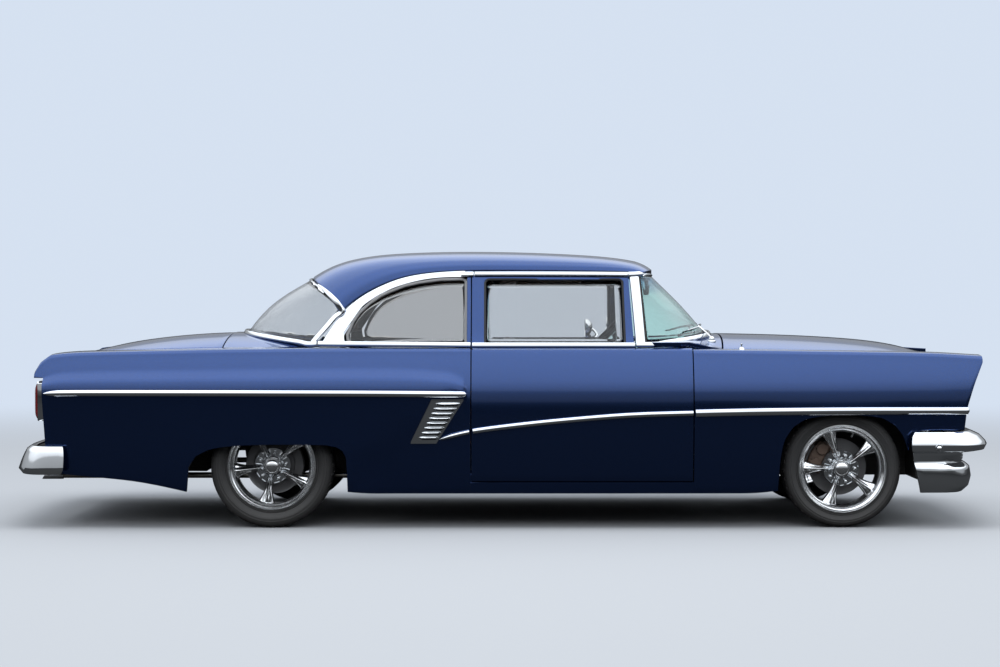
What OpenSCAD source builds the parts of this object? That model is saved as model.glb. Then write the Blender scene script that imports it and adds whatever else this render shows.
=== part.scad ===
// Two-door hardtop-era sedan of the middle nineteen-fifties, lowered, on five-spoke wheels.
// X points forward, Y to the car's left, Z up; lengths in millimetres, ground at Z = 0.

/* [Overall] */
// Half of the length over both bumpers
half_len = 2622; // [2550:1:2700]
// Distance between the axles
wheelbase = 3023; // [2950:1:3100]
// Rear axle ahead (+) or behind (-) of mid length
rear_axle_x = -1230; // [-1260:1:-1200]
// Half of the distance between a pair of wheels
half_track = 745; // [730:1:755]
// Half width of the body side at the door, at its widest
side_w = 938; // [925:1:950]
// Inset of the shoulder from the widest line
shoulder_in = 84; // [70:1:95]
// Inset of the rocker from the widest line
rocker_in = 40; // [20:1:55]
// Height of the widest line of the side
widest_z = 640; // [600:1:680]
// Bottom of the rocker
rocker_z = 186; // [170:1:200]

/* [Panels] */
// Thickness of fenders, quarters and lids
panel_t = 25; // [18:1:28]
// Thickness of a door, outer skin to inner trim
door_t = 95; // [80:1:105]
// Gap round doors and lids
gap = 6; // [5.5:0.5:8]
// Height of the rounded shoulder edge
roll_h = 36; // [32:1:44]
// Width of the rounded shoulder edge
roll_w = 42; // [36:1:48]
// How far the quarter's upper pontoon stands out
pontoon_out = 32; // [20:1:34]
// How far the lower quarter stands out behind the louvres
haunch_out = 20; // [12:1:26]
// Door, rear edge
door_rear_x = -171; // [-180:1:-160]
// Door, front edge
door_front_x = 996; // [980:1:1010]
// Door, lower edge
door_low_z = 252; // [245:1:262]
// Half width of the hood at its rear edge
hood_half = 722; // [700:1:735]
// Hood, rear edge on the centre line
hood_rear_x = 1215; // [1205:1:1235]
// Hood, front lip on the centre line
hood_front_x = 2392; // [2370:1:2395]
// Half width of the trunk lid
lid_half = 640; // [600:1:660]
// Trunk lid, front edge
lid_front_x = -1520; // [-1540:1:-1505]

/* [Greenhouse] */
// Height of the ledge below the windows
belt_z = 953; // [945:1:960]
// Half width of the side glass at the belt
glass_half = 800; // [785:1:808]
// Inward lean of the side glass, per unit of height
tumble = 0.345; // [0.30:0.005:0.37]
// Half width of the cowl at the windshield's corners
cowl_half = 806; // [800:1:808]
// Height of the cowl beside the windshield
cowl_side_z = 982; // [980:1:986]
// Thickness of the cowl
cowl_t = 22; // [18:1:23]
// Thickness of window glass
glass_t = 6; // [5:0.5:8]
// Thickness of the roof with its lining
roof_t = 30; // [24:1:36]
// Lower edge of the drip moulding, top of the door frame
frame_top_z = 1336; // [1326:1:1342]
// Top of the side windows
window_top_z = 1317; // [1300:1:1320]

/* [Wheels] */
// Outside radius of the front tyres
front_tyre_r = 312; // [300:1:318]
// Outside radius of the rear tyres
rear_tyre_r = 325; // [315:1:332]
// Width of the front tyres
front_tyre_w = 215; // [195:1:225]
// Width of the rear tyres
rear_tyre_w = 245; // [225:1:250]
// Radius of the rim's flange
rim_r = 236; // [232:1:240]
// Radius of the brake discs and drums
brake_r = 150; // [130:1:165]
// Number of spokes
spokes = 5; // [5:1:5]

/* [Running gear] */
// Half of the distance between the kingpins
kingpin_y = 610; // [600:1:616]
// Underside of the frame rails
frame_z = 190; // [180:1:200]
// Height of a frame rail
rail_h = 90; // [80:1:100]
// Width of a frame rail
rail_w = 70; // [60:1:80]
// Thickness of the floor
floor_t = 18; // [12:1:24]
// Top of the cabin floor
floor_z = 300; // [292:1:310]
// Top of the floor over the axle and in the trunk
deck_floor_z = 500; // [490:1:510]
// Half width of the cabin between the sills
sill_in = 790; // [780:1:794]

/* [Cabin] */
// Height of the front seat's back
seat_top_z = 1005; // [980:1:1020]
// Radius of the steering wheel
steer_r = 205; // [190:1:212]

/* [Build] */
// Which node to draw, or all of them

/* [Hidden] */
front_axle_x = rear_axle_x + wheelbase;
paint = [0.12, 0.2, 0.42];
chrome = [0.86, 0.88, 0.9];
dark = [0.12, 0.12, 0.13];
pane = [0.55, 0.62, 0.62, 0.6];
seat_gap = 0.3;

// Body lines along the car: x, height of the shoulder, loss of half width from the door's
LINES = [[-2503, 800, 78], [-2470, 868, 74], [-2430, 910, 69], [-2349, 927, 60], [-1873, 940, 18],
  [-1344, 950, 3], [-165, 953, 0], [1000, 946, 3], [1823, 936, 20], [2300, 926, 52], [2530, 912, 88]];
// Upper crease of the pontoon: x, height
CREASE = [[-2450, 790], [-2359, 818], [-1597, 834], [-546, 842], [-284, 823], [-231, 808], [-196, 770]];
// Front edge of the haunch, where the louvres stand: height, x
HAUNCH = [[330, -651], [404, -598], [463, -487], [683, -215], [705, -196]];
// Lower edge of the fender ahead of the wheel: x, height
NOSE_LOW = [[2138, 437], [2160, 490], [2200, 518], [2310, 519], [2436, 519]];
// Roof: x and height of the drip line, x and height on the centre line
ROOF = [[740, 1352, 830, 1375], [700, 1358, 790, 1405], [600, 1362, 690, 1440], [380, 1365, 420, 1464],
  [60, 1367, 80, 1478], [-161, 1366, -192, 1481], [-344, 1360, -420, 1478], [-505, 1339, -650, 1468],
  [-613, 1306, -800, 1449], [-720, 1255, -920, 1421], [-800, 1204, -1010, 1382], [-863, 1148, -1075, 1342]];
// Inner edge of the ledge on top of fender and quarter: x, half width
LEDGE = [[-1030, 745], [-165, 750],
  [1000, 752], [1215, 728], [1800, 722], [2300, 700], [2530, 690]];
// Hood on the centre line: share of its length from the rear, height
HOOD = [[0, 1019], [0.22, 1014], [0.43, 1005], [0.64, 989], [0.8, 968], [0.885, 942], [0.94, 906], [1, 832]];
// Trunk lid on the centre line: x, height
LID = [[-1520, 1025], [-1731, 1016], [-1959, 993], [-2130, 965], [-2250, 928], [-2330, 880], [-2395, 790],
  [-2425, 690], [-2436, 580]];

// Straight blend from a to b
function mix(a, b, t) = a + (b - a) * t;
// Blend that starts and ends level
function ease(t) = let (u = min(1, max(0, t))) u * u * (3 - 2 * u);
// Quarter circle rising from 0 to 1
function round_up(t) = let (u = min(1, max(0, t))) sqrt(1 - (1 - u) * (1 - u));
// Row of a table, sorted by its first column, that starts the span holding x
function span(tb, x, i = 0) = i >= len(tb) - 2 || x < tb[i + 1][0] ? i : span(tb, x, i + 1);
function tangent(tb, i, c) = let (a = max(0, i - 1), b = min(len(tb) - 1, i + 1))
  (tb[b][c] - tb[a][c]) / (tb[b][0] - tb[a][0]);
// Smooth reading of column c at x
function at(tb, x, c = 1) = let (i = span(tb, x), h = tb[i + 1][0] - tb[i][0],
    t = min(1, max(0, (x - tb[i][0]) / h)), m0 = tangent(tb, i, c) * h, m1 = tangent(tb, i + 1, c) * h)
  (2 * t ^ 3 - 3 * t ^ 2 + 1) * tb[i][c] + (t ^ 3 - 2 * t ^ 2 + t) * m0
  + (3 * t ^ 2 - 2 * t ^ 3) * tb[i + 1][c] + (t ^ 3 - t ^ 2) * m1;
// The same at share u of the table's rows
function along(tb, u, c) = let (n = len(tb) - 1, i = min(n - 1, floor(u * n)), t = u * n - i,
    m0 = (tb[i + 1][c] - tb[max(0, i - 1)][c]) / (i == 0 ? 1 : 2),
    m1 = (tb[min(n, i + 2)][c] - tb[i][c]) / (i == n - 1 ? 1 : 2))
  (2 * t ^ 3 - 3 * t ^ 2 + 1) * tb[i][c] + (t ^ 3 - 2 * t ^ 2 + t) * m0
  + (3 * t ^ 2 - 2 * t ^ 3) * tb[i + 1][c] + (t ^ 3 - t ^ 2) * m1;

function shoulder_z(x) = at(LINES, x, 1);
// Half width of the plain body side
function side_y(x, z) = let (w = side_w - at(LINES, x, 2), top = shoulder_z(x),
    t = z > widest_z ? (z - widest_z) / (953 - widest_z) : (widest_z - z) / (widest_z - rocker_z))
  w - (z > widest_z ? shoulder_in : rocker_in) * t * t;
// What pontoon and haunch add to the quarter
function swell(x, z) = let (lo = 705, hi = at(CREASE, x), out = round_up((-196 - x) / 130))
  z > lo ? pontoon_out * out * round_up((hi - z) / (0.55 * max(20, hi - lo)))
  : mix(haunch_out, pontoon_out, ease((z - 660) / 45)) * ease((at(HAUNCH, z) - x) / 90);
// Inner edge of the ledge on top of fender and quarter
function ledge_y(x) = x > -1030 ? at(LEDGE, x) : mix(745, lid_half + gap, min(1, (-1030 - x) / 490));
// Half width of the side glass
function glass_y(x, z) = glass_half - 70 * ease((-500 - x) / 900) - 12 * ease((x - 400) / 400)
  - tumble * (z - belt_z);
// Wheel opening at angle a: centre, reach ahead, reach behind, bottom, top, squareness ahead and behind
REAR_ARCH = [rear_axle_x + 30, 377, 473, 196, 449, 0.3, 0.55];
FRONT_ARCH = [front_axle_x + 3, 350, 350, 200, 604, 0.6, 0.6];
function arch(s, a) = let (c = cos(a), e = c > 0 ? s[5] : s[6])
  [s[0] + (c > 0 ? s[1] : -s[2]) * abs(c) ^ e, s[3] + (s[4] - s[3]) * abs(sin(a)) ^ e];
// Points spread evenly from a to b, without b
function steps(a, b, n) = [for (k = [0:n - 1]) mix(a, b, k / n)];
// Columns of points between guide lines, with so many steps from each guide to the next
function between(guides, counts) = [for (i = [0:len(guides[0]) - 1])
  concat([for (k = [0:len(guides) - 2], r = [0:counts[k] - 1]) mix(guides[k][i], guides[k + 1][i], r / counts[k])],
    [guides[len(guides) - 1][i]])];

// Faces of a sheet between two grids of n by m points; on(i, j) says which cells are there
function sheet_faces(n, m, on) = let (o = function(i, j) i * m + j, q = function(i, j) n * m + i * m + j,
    has = function(i, j) i >= 0 && j >= 0 && i < n - 1 && j < m - 1 && on(i, j))
  [for (i = [0:n - 2], j = [0:m - 2]) if (on(i, j)) each concat(
    [[o(i, j), o(i + 1, j), o(i + 1, j + 1)], [o(i, j), o(i + 1, j + 1), o(i, j + 1)],
      [q(i, j), q(i + 1, j + 1), q(i + 1, j)], [q(i, j), q(i, j + 1), q(i + 1, j + 1)]],
    has(i - 1, j) ? [] : [[o(i, j), o(i, j + 1), q(i, j + 1)], [o(i, j), q(i, j + 1), q(i, j)]],
    has(i + 1, j) ? [] : [[o(i + 1, j), q(i + 1, j), q(i + 1, j + 1)],
      [o(i + 1, j), q(i + 1, j + 1), o(i + 1, j + 1)]],
    has(i, j - 1) ? [] : [[o(i, j), q(i, j), q(i + 1, j)], [o(i, j), q(i + 1, j), o(i + 1, j)]],
    has(i, j + 1) ? [] : [[o(i, j + 1), o(i + 1, j + 1), q(i + 1, j + 1)],
      [o(i, j + 1), q(i + 1, j + 1), q(i, j + 1)]])];
module sheet(outer, inner, on = function(i, j) true) {
  pts = concat([for (row = outer) each row], [for (row = inner) each row]);
  f = sheet_faces(len(outer), len(outer[0]), on);
  size = [for (t = f) pts[t[0]] * cross(pts[t[1]], pts[t[2]])] * [for (t = f) 1];
  polyhedron(pts, size > 0 ? [for (t = f) [t[2], t[1], t[0]]] : f, convexity = 8);
}
module both() {
  children();
  mirror([0, 1, 0]) children();
}
// Plain bar from corner a to corner b
module bar(a, b) {
  translate([min(a.x, b.x), min(a.y, b.y), min(a.z, b.z)])
    cube([abs(a.x - b.x), abs(a.y - b.y), abs(a.z - b.z)]);
}
// Profile in X and Z drawn out across the car from y0 to y1
module across(y0, y1, pts) {
  translate([0, y1, 0]) rotate([90, 0, 0]) linear_extrude(height = y1 - y0) polygon(pts);
}

// A fender or quarter: side rows, rounded shoulder, ledge; w(x, z) is the half width of its side
module side_panel(cols, w) {
  roll = [30, 60, 90];
  outer = [for (c = cols) concat(
    [for (p = c) [p.x, w(p.x, p.y), p.y]],
    let (p = c[len(c) - 1], y = w(p.x, p.y))
      [for (a = roll) [p.x, y - roll_w * (1 - cos(a)), p.y + roll_h * sin(a)]],
    let (p = c[len(c) - 1]) [[p.x, ledge_y(p.x), p.y + roll_h + 3]])];
  inner = [for (c = cols) concat(
    [for (p = c) [p.x, w(p.x, p.y) - panel_t, p.y]],
    let (p = c[len(c) - 1], y = w(p.x, p.y))
      [for (a = roll) [p.x, y - roll_w * (1 - cos(a)) - panel_t * cos(a),
        p.y + roll_h * sin(a) - panel_t * sin(a)]],
    let (p = c[len(c) - 1]) [[p.x, ledge_y(p.x), p.y + roll_h + 3 - panel_t]])];
  sheet(outer, inner);
}

module frame() color(dark) {
  hump = deck_floor_z - floor_t - seat_gap;
  both() across(400, 400 + rail_w, [[-2300, hump - rail_h], [-1560, hump - rail_h], [-1420, hump - 62],
    [-1050, hump - 62], [-800, frame_z], [1350, frame_z], [1480, frame_z + 60], [2262, frame_z + 60],
    [2262, frame_z + 60 + rail_h], [1460, frame_z + 60 + rail_h], [1330, frame_z + rail_h],
    [-780, frame_z + rail_h], [-1030, hump], [-2300, hump]]);
  bar([1480, -402, frame_z + 62], [1600, 402, 299.7]);
  bar([400, -402, frame_z + 2], [460, 402, frame_z + 60]);
  bar([-700, -402, frame_z + 2], [-640, 402, frame_z + 60]);
  bar([-2290, -402, hump - rail_h + 2], [-2230, 402, hump - 20]);
  bar([2232, -402, frame_z + 62], [2262, 402, 840]);
  both() for (x = [-560, 900]) bar([x - 50, 405, frame_z - 8], [x + 50, 395 + rail_w, frame_z + 1]);
  stop = hood_at(0.84, 0.6, panel_t);
  both() bar([stop.x - 14, 395, 780], [2260, stop.y + 20, 838]);
  // inner fenders beside the engine, splash aprons behind the bumper
  both() bar([1100, 452, frame_z + 60 + rail_h - 60], [2200, 464, 800]);
  both() bar([2198, 452, frame_z + 62], [2208, 895, 490]);
  both() translate([stop.x, stop.y, 800]) cylinder(r1 = 14, r2 = 0.5, h = stop.z - 2 * seat_gap - 800);
}

module underbody() color(dark) {
  low = floor_z - floor_t;
  bar([-760, -sill_in + seat_gap, low], [1080, sill_in - seat_gap, floor_z]);
  bar([1080 - floor_t, -690, low + 1], [1080, 690, 915]);
  bar([-760, -590, low + 1], [-760 + floor_t, 590, deck_floor_z]);
  bar([-2403.7, -590, deck_floor_z - floor_t], [-760 + floor_t, 590, deck_floor_z]);
  both() bar([-1780, 575, 392], [-780, 590, 900]);
  // fuel tank between the rails
  bar([-2200, -380, 262], [-1640, 380, deck_floor_z - floor_t + 1]);
  bar([-1440, -576, deck_floor_z - 1], [-1440 + floor_t, 576, 925]);
}

module engine() color(dark) {
  bar([1140, -150, 300], [1900, 150, 560]);
  both() across(60, 270, [[1200, 520], [1880, 520], [1880, 760], [1200, 760]]);
  bar([1240, -61, 520], [1840, 61, 820]);
}

module front_arms() color(dark) both() translate([front_axle_x, 0, 0]) {
  reach = kingpin_y - 26 - seat_gap;
  bar([-120, 470 + seat_gap, 282], [120, 500, 300]);
  bar([-30, 470 + seat_gap, 262], [30, reach, 284]);
  bar([-30, 489, 400], [30, reach, 420]);
  bar([-30, 470 + seat_gap, 283], [30, 490, 420]);
}

module rear_axle() color(dark) {
  translate([rear_axle_x, 0, rear_tyre_r]) {
    rotate([90, 0, 0]) cylinder(r = 40, h = 2 * (half_track - seat_gap), center = true);
    sphere(r = 140, $fn = 48);
    both() translate([0, half_track - 90, 0]) rotate([-90, 0, 0]) cylinder(r = brake_r, h = 50);
    both() bar([-60, 412, 0], [60, 455, deck_floor_z - floor_t - 62 - 2 * seat_gap - rear_tyre_r]);
  }
}

module exhaust() color(dark) both() {
  translate([-2472, 540, 254]) rotate([0, 90, 0]) cylinder(r = 16, h = 2900);
  for (x = [-600, 300]) bar([x, 534, 260], [x + 20, 546, floor_z - floor_t - seat_gap]);
  bar([-2200, 534, 260], [-2180, 546, deck_floor_z - floor_t - seat_gap]);
}

module knuckle(s) color(dark) translate([front_axle_x, 0, front_tyre_r]) mirror([0, s < 0 ? 1 : 0, 0]) {
  translate([0, kingpin_y, -100]) cylinder(r = 26, h = 210);
  translate([0, 600, 0]) rotate([-90, 0, 0]) cylinder(r = 32, h = half_track - seat_gap - 600);
  translate([0, half_track - 85, 0]) rotate([-90, 0, 0]) cylinder(r = brake_r, h = 26);
  translate([-120, half_track - 105, 60]) rotate([-90, 0, 0]) cylinder(r = 55, h = 52);
  bar([-130, kingpin_y + 12, -12], [10, half_track - 103, 60]);
}
module knuckle_left() knuckle(1);
module knuckle_right() knuckle(-1);

// Put a wheel piece, drawn with its outer face up, on axle x at side s
module on_axle(x, r, s) translate([x, s * half_track, r]) rotate([-90 * s, 0, 0]) children();

module tyre(r, w) color(dark) {
  h = w / 2;
  b = rim_r - 20 + seat_gap;
  half = [[b, 60], [b, 82], [b + 10, 94.5], [rim_r + 1, 99.3], [mix(rim_r, r, 0.42), h], [mix(rim_r, r, 0.72), h - 3],
    [r - 9, h - 18], [r, h - 32]];
  inside = [[r - 16, h - 34], [mix(rim_r, r, 0.5), h - 14], [rim_r, 84], [b + 6, 60]];
  rotate_extrude($fn = 64) polygon(concat(half, [for (k = [7:-1:0]) [half[k].x, -half[k].y]],
    [for (k = [3:-1:0]) [inside[k].x, -inside[k].y]], inside));
}
// Plan of all spokes, from half width h0 at the hub to h1 at the rim
module star(h0, h1) for (k = [0:spokes - 1]) rotate(360 * k / spokes)
  polygon([[30, -h0], [rim_r - 27, -h1], [rim_r - 27, h1], [30, h0]]);
module rim() color(chrome) {
  b = rim_r - 20;
  rotate_extrude() polygon([[rim_r, 108], [rim_r - 8, 110], [b - 2, 100], [b - 4, 60], [b - 11, 52],
    [b - 11, -95], [b + 4, -105], [rim_r, -108], [rim_r, -100], [b + 10, -95], [b, -83], [b, 83], [b + 10, 95],
    [rim_r, 100]]);
  intersection() {
    linear_extrude(height = 110) star(28, 54);
    rotate_extrude() polygon([[20, 20], [b - 5, 4], [b - 5, 46], [150, 56], [90, 66], [20, 70]]);
  }
  intersection() {
    translate([0, 0, 2]) linear_extrude(height = 110) star(9, 14);
    rotate_extrude() polygon([[20, 38], [b - 5.5, 24], [b - 5.5, 54], [150, 66], [90, 76], [20, 80]]);
  }
  rotate_extrude() polygon([[0, 0], [92, 0], [92, 40], [46, 40], [46, 84], [38, 92], [20, 98], [0, 100]]);
}
module tyre_front_left() on_axle(front_axle_x, front_tyre_r, 1) tyre(front_tyre_r, front_tyre_w);
module tyre_front_right() on_axle(front_axle_x, front_tyre_r, -1) tyre(front_tyre_r, front_tyre_w);
module tyre_rear_left() on_axle(rear_axle_x, rear_tyre_r, 1) tyre(rear_tyre_r, rear_tyre_w);
module tyre_rear_right() on_axle(rear_axle_x, rear_tyre_r, -1) tyre(rear_tyre_r, rear_tyre_w);
module rim_front_left() on_axle(front_axle_x, front_tyre_r, 1) rotate([0, 0, 180]) rim();
module rim_front_right() on_axle(front_axle_x, front_tyre_r, -1) rotate([0, 0, 180]) rim();
module rim_rear_left() on_axle(rear_axle_x, rear_tyre_r, 1) rotate([0, 0, 188]) rim();
module rim_rear_right() on_axle(rear_axle_x, rear_tyre_r, -1) rotate([0, 0, 188]) rim();

module fender_half() color(paint) {
  x0 = door_front_x + gap;
  low = concat([for (x = steps(x0, FRONT_ARCH[0] - FRONT_ARCH[2], 4)) [x, rocker_z]],
    [for (a = [180:-16:20]) arch(FRONT_ARCH, a)],
    NOSE_LOW);
  n = len(low) - 1;
  line = function(z, x1) [for (i = [0:n]) [mix(x0, x1, i / n), z]];
  top = [for (i = [0:n]) let (x = mix(x0, 2545, i / n)) [x, shoulder_z(x) - roll_h]];
  side_panel(between([low, line(636, 2450), line(760, 2492), top], [3, 2, 2]), function(x, z) side_y(x, z));
}
module fender_left() fender_half();
module fender_right() mirror([0, 1, 0]) fender_half();

// Quarter: columns of points in X and Z, door edge to tail; the louvres lie on columns 2 to 5
function quarter_cols() = let (x0 = door_rear_x - gap, a0 = REAR_ARCH[0] + REAR_ARCH[1], a1 = REAR_ARCH[0] - REAR_ARCH[2],
    nose = [0, 18, 38, 94, 150, 206], slant = [0, 75, 153, 205, 258, 311], tail = [0.32, 0.58, 0.77, 0.89, 0.96, 1],
    line = function(front, x1) concat([for (d = front) x0 - d], [for (k = [0:10]) mix(x0 - 340, -1780, k / 10)],
      [for (t = tail) mix(-1780, x1, t)]),
    low = concat([for (x = steps(x0, a0, 6)) [x, rocker_z]], [for (a = [0:18:180]) arch(REAR_ARCH, a)],
      [for (t = tail) mix([a1, 229], [-2412, 294], t)]))
  between([low, [for (x = line(slant, -2424)) [x, 463]], [for (x = line(nose, -2438)) [x, 690]],
    [for (x = line(nose, -2440)) [x, at(CREASE, x)]],
    [for (x = line(nose, -2490)) [x, max(at(CREASE, x) + 4, shoulder_z(x) - roll_h)]]], [2, 2, 3, 2]);
function quarter_w(x, z) = side_y(x, z) + swell(x, z);
module quarter_half() color(paint) side_panel(quarter_cols(), function(x, z) quarter_w(x, z));
module quarter_left() quarter_half();
module quarter_right() mirror([0, 1, 0]) quarter_half();

module sills() color(paint) both() {
  cols = [for (k = [0:6]) mix(door_rear_x - gap + seat_gap, door_front_x + gap - seat_gap, k / 6)];
  rows = [rocker_z, mix(rocker_z, door_low_z - gap, 0.5), door_low_z - gap];
  sheet([for (x = cols) [for (z = rows) [x, side_y(x, z), z]]], [for (x = cols) [for (z = rows) [x, sill_in + 8, z]]]);
  bar([door_rear_x - gap + 1, sill_in, rocker_z + 4], [door_front_x + gap - 1, sill_in + 16, floor_z]);
  // striker behind the door
  bar([door_rear_x - gap + 0.5, side_w - 42, 236], [door_rear_x - seat_gap, side_w - 31, 292]);
}

module door_half() color(paint) {
  low_x = [door_rear_x, -101, 85, 270, 455, 645, 694, 800, 900, door_front_x];
  top_x = [door_rear_x, -101, 85, 270, 455, 636, 668];
  z0 = belt_z - roll_h;
  lower = concat(steps(door_low_z, widest_z, 3), steps(widest_z, z0, 3), [z0]);
  roll = [45, 90];
  upper = [belt_z + 3, window_top_z, frame_top_z];
  ux = function(i, z) i > 6 ? low_x[i] : mix(low_x[i], top_x[i], (z - belt_z) / (frame_top_z - belt_z));
  outer = [for (i = [0:9]) let (x = low_x[i], y = side_y(x, z0)) concat([for (z = lower) [x, side_y(x, z), z]],
    [for (a = roll) [x, y - roll_w * (1 - cos(a)), z0 + roll_h * sin(a) - 1]],
    [for (z = upper) [ux(i, z), glass_y(ux(i, z), z), z]])];
  inner = [for (i = [0:9]) let (x = low_x[i] + (i == 0 ? 13 : 0), y = side_y(x, z0)) concat(
    [for (z = lower) [x, side_y(x, z) - door_t, z]], [for (a = roll) [x, y - door_t, z0 + roll_h * sin(a) - 1]],
    [for (z = upper) let (u = ux(i, z) + (i == 0 ? 13 : 0)) [u, glass_y(u, z) - 40, z]])];
  sheet(outer, inner, function(i, j) j < 8 || j == 8 && i < 9 && (i < 6)
    || j == 9 && (i == 0 || i == 5) || j == 10 && i < 6);
}
module door_left() door_half();
module door_right() mirror([0, 1, 0]) door_half();

// Hood and lid are drawn across the car at these shares of the half width
ACROSS = [-1, -0.93, -0.8, -0.6, -0.3, 0, 0.3, 0.6, 0.8, 0.93, 1];
// Cowl, deck and the glass on them share these columns, as angles round the roof
ROUND = [4, 12, 24, 40, 58, 75, 90, 105, 122, 140, 156, 168, 176];
function turn(a) = sign(cos(a)) * abs(cos(a)) ^ 0.8;
SHARES = concat([cowl_half / 775], [for (a = ROUND) turn(a)], [-cowl_half / 775]);
function wind_x(v) = 1142 - 377 * min(1, abs(v)) ^ 3.2;
function cowl_y(x, v) = v * 775 / cowl_half * mix(cowl_half, at(LEDGE, x) - 2, ease((x - 945) / 48));
function cowl_z(x, v) = mix(1019, mix(cowl_side_z, shoulder_z(hood_rear_x) + 2, ease((x - 985) / 180)),
  min(1, abs(v) / 0.92) ^ 2.2);
module cowl() color(paint) {
  grid = function(d) [for (v = SHARES) let (a = abs(v) > 0.95 ? 701 : wind_x(v) - 22, b = hood_rear_x - gap - 40 * v * v)
    [for (x = [a, wind_x(v), mix(wind_x(v), b, 0.25), mix(wind_x(v), b, 0.44), mix(wind_x(v), b, 0.565),
      mix(wind_x(v), b, 0.8), b]) [x, cowl_y(x, v), cowl_z(x, v) - d]]];
  sheet(grid(0), grid(cowl_t));
}
function hood_at(u, v, d) = let (x = mix(hood_rear_x - 40 * v * v, hood_front_x - 25 * v * v, u), z = at(HOOD, u),
    e = min(z, shoulder_z(x) + 2)) [x, v * (at(LEDGE, x) - gap), mix(z, e, abs(v) ^ 2.4) - d];
module hood() color(paint) {
  us = [0, 0.12, 0.26, 0.42, 0.58, 0.72, 0.84, 0.92, 0.97, 1];
  grid = function(d) [for (v = ACROSS) [for (u = us) hood_at(u, v, d)]];
  sheet(grid(0), grid(panel_t));
}

module pillars() color(paint) both() {
  // front pillar, edge behind and edge ahead: x at its foot, x at the roof, height at the roof
  post = [[700, 674, 1358.4], [757, 722, 1354.2]];
  foot = cowl_side_z + seat_gap;
  grid = function(d) [for (e = post) [for (t = [0, 0.5, 1]) let (x = mix(e[0], e[1], t), z = mix(foot, e[2], t))
    [x, glass_y(x, z) - d, z]]];
  sheet(grid(0), grid(26));
  rear = function(d) [for (x = [door_rear_x - gap - 20, door_rear_x - gap]) [for (z = [956.5, 1150, 1364])
    [x, glass_y(x, z) - d, z]]];
  sheet(rear(0), rear(40));
}

// Roof point at share u of its length and angle a, 0 at the left drip line, 90 on the centre line
function roof_at(u, a, d) = let (xr = along(ROOF, u, 0), zr = along(ROOF, u, 1), xc = along(ROOF, u, 2),
    zc = along(ROOF, u, 3), yr = glass_y(xr, zr) - d * (1 - 0.9 * sin(a)), c = abs(cos(a)), s = abs(sin(a)))
  [mix(xr, xc, s ^ 1.2), sign(cos(a)) * yr * c ^ 0.8, mix(zr, zc, s ^ 0.8) - d * s];
module roof() color(paint) {
  as = [0, 10, 22, 36, 52, 70, 90, 110, 128, 144, 158, 170, 180];
  grid = function(d) [for (k = [0:14]) [for (a = as) roof_at(k / 14, a, d)]];
  sheet(grid(0), grid(roof_t));
}

function rear_x(v) = -1446 + 421 * min(1, abs(v)) ^ 2.6;
function deck_z(x, v) = mix(1028, shoulder_z(x) + 3, min(1, abs(v)) ^ 2.2);
function deck_y(x, v) = v * 735 / 745 * (ledge_y(x) - 2);
module rear_deck() color(paint) {
  grid = function(d) [for (v = concat([745 / 735], [for (a = ROUND) turn(a)], [-745 / 735])) let (b = rear_x(v))
    [for (x = [b + 20, b, mix(b, lid_front_x + gap, 0.35), mix(b, lid_front_x + gap, 0.7), lid_front_x + gap])
      [x, deck_y(x, v), deck_z(x, v) - d]]];
  sheet(grid(0), grid(panel_t));
}
module trunk_lid() color(paint) {
  grid = function(d) [for (v = ACROSS) [for (k = [0:12]) let (u = k / 12, xc = along(LID, u, 0), zc = along(LID, u, 1),
      w = ease((u - 0.5) / 0.4), drop = max(0, zc - shoulder_z(max(xc, -2349)) - 3))
    [xc + 45 * v * v * w + d * w, v * lid_half, zc - drop * abs(v) ^ 2.4 - d * (1 - w)]]];
  sheet(grid(0), grid(panel_t));
}
module tail_panel() color(paint) {
  difference() {
    bar([-2432, -800, 300], [-2404, 800, 572]);
    for (y = [-89, 89], z = [-60, 60]) translate([-2440, y, 480 + z]) rotate([0, 90, 0]) cylinder(r = 3.5, h = 50);
  }
  both() bar([-2432, lid_half + gap, 571], [-2404, 815, 776]);
  // striker under the lid's edge
  bar([-2426, -30, 571], [-2416, 30, 580 - seat_gap]);
}

module front_panel_shape() {
  difference() {
    polygon([[-790, 560], [-560, 560], [-560, 765], [560, 765], [560, 560], [790, 560], [790, 866], [-790, 866]]);
    for (y = [-690, 690]) translate([y, 730]) circle(r = 92);
  }
}

module windshield() color(pane) {
  point = function(a, t, d) let (v = turn(a), xb = wind_x(v), top = roof_at(0, a, roof_t),
      b = [xb, cowl_y(xb, v), cowl_z(xb, v) + 1.2], p = mix(b, top - [6, 0, 3], t))
    p + [18 * sin(180 * t) * (1 - abs(v) ^ 4) - d, -d * 0.6 * v, 0];
  grid = function(d) [for (a = ROUND) [for (k = [0:4]) point(a, k / 4, d)]];
  sheet(grid(0), grid(glass_t));
}
module rear_glass() color(pane) {
  point = function(a, t, d) let (v = turn(a), xb = rear_x(v), top = roof_at(1, a, roof_t * 0.5),
      b = [xb, deck_y(xb, v), deck_z(xb, v) + 1.2], p = mix(b, top - [10, 0, 7], t))
    p + [-22 * sin(180 * t) * (1 - abs(v) ^ 4) + d, -d * 0.6 * v, 0];
  grid = function(d) [for (a = ROUND) [for (k = [0:4]) point(a, k / 4, d)]];
  sheet(grid(0), grid(glass_t));
}
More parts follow.
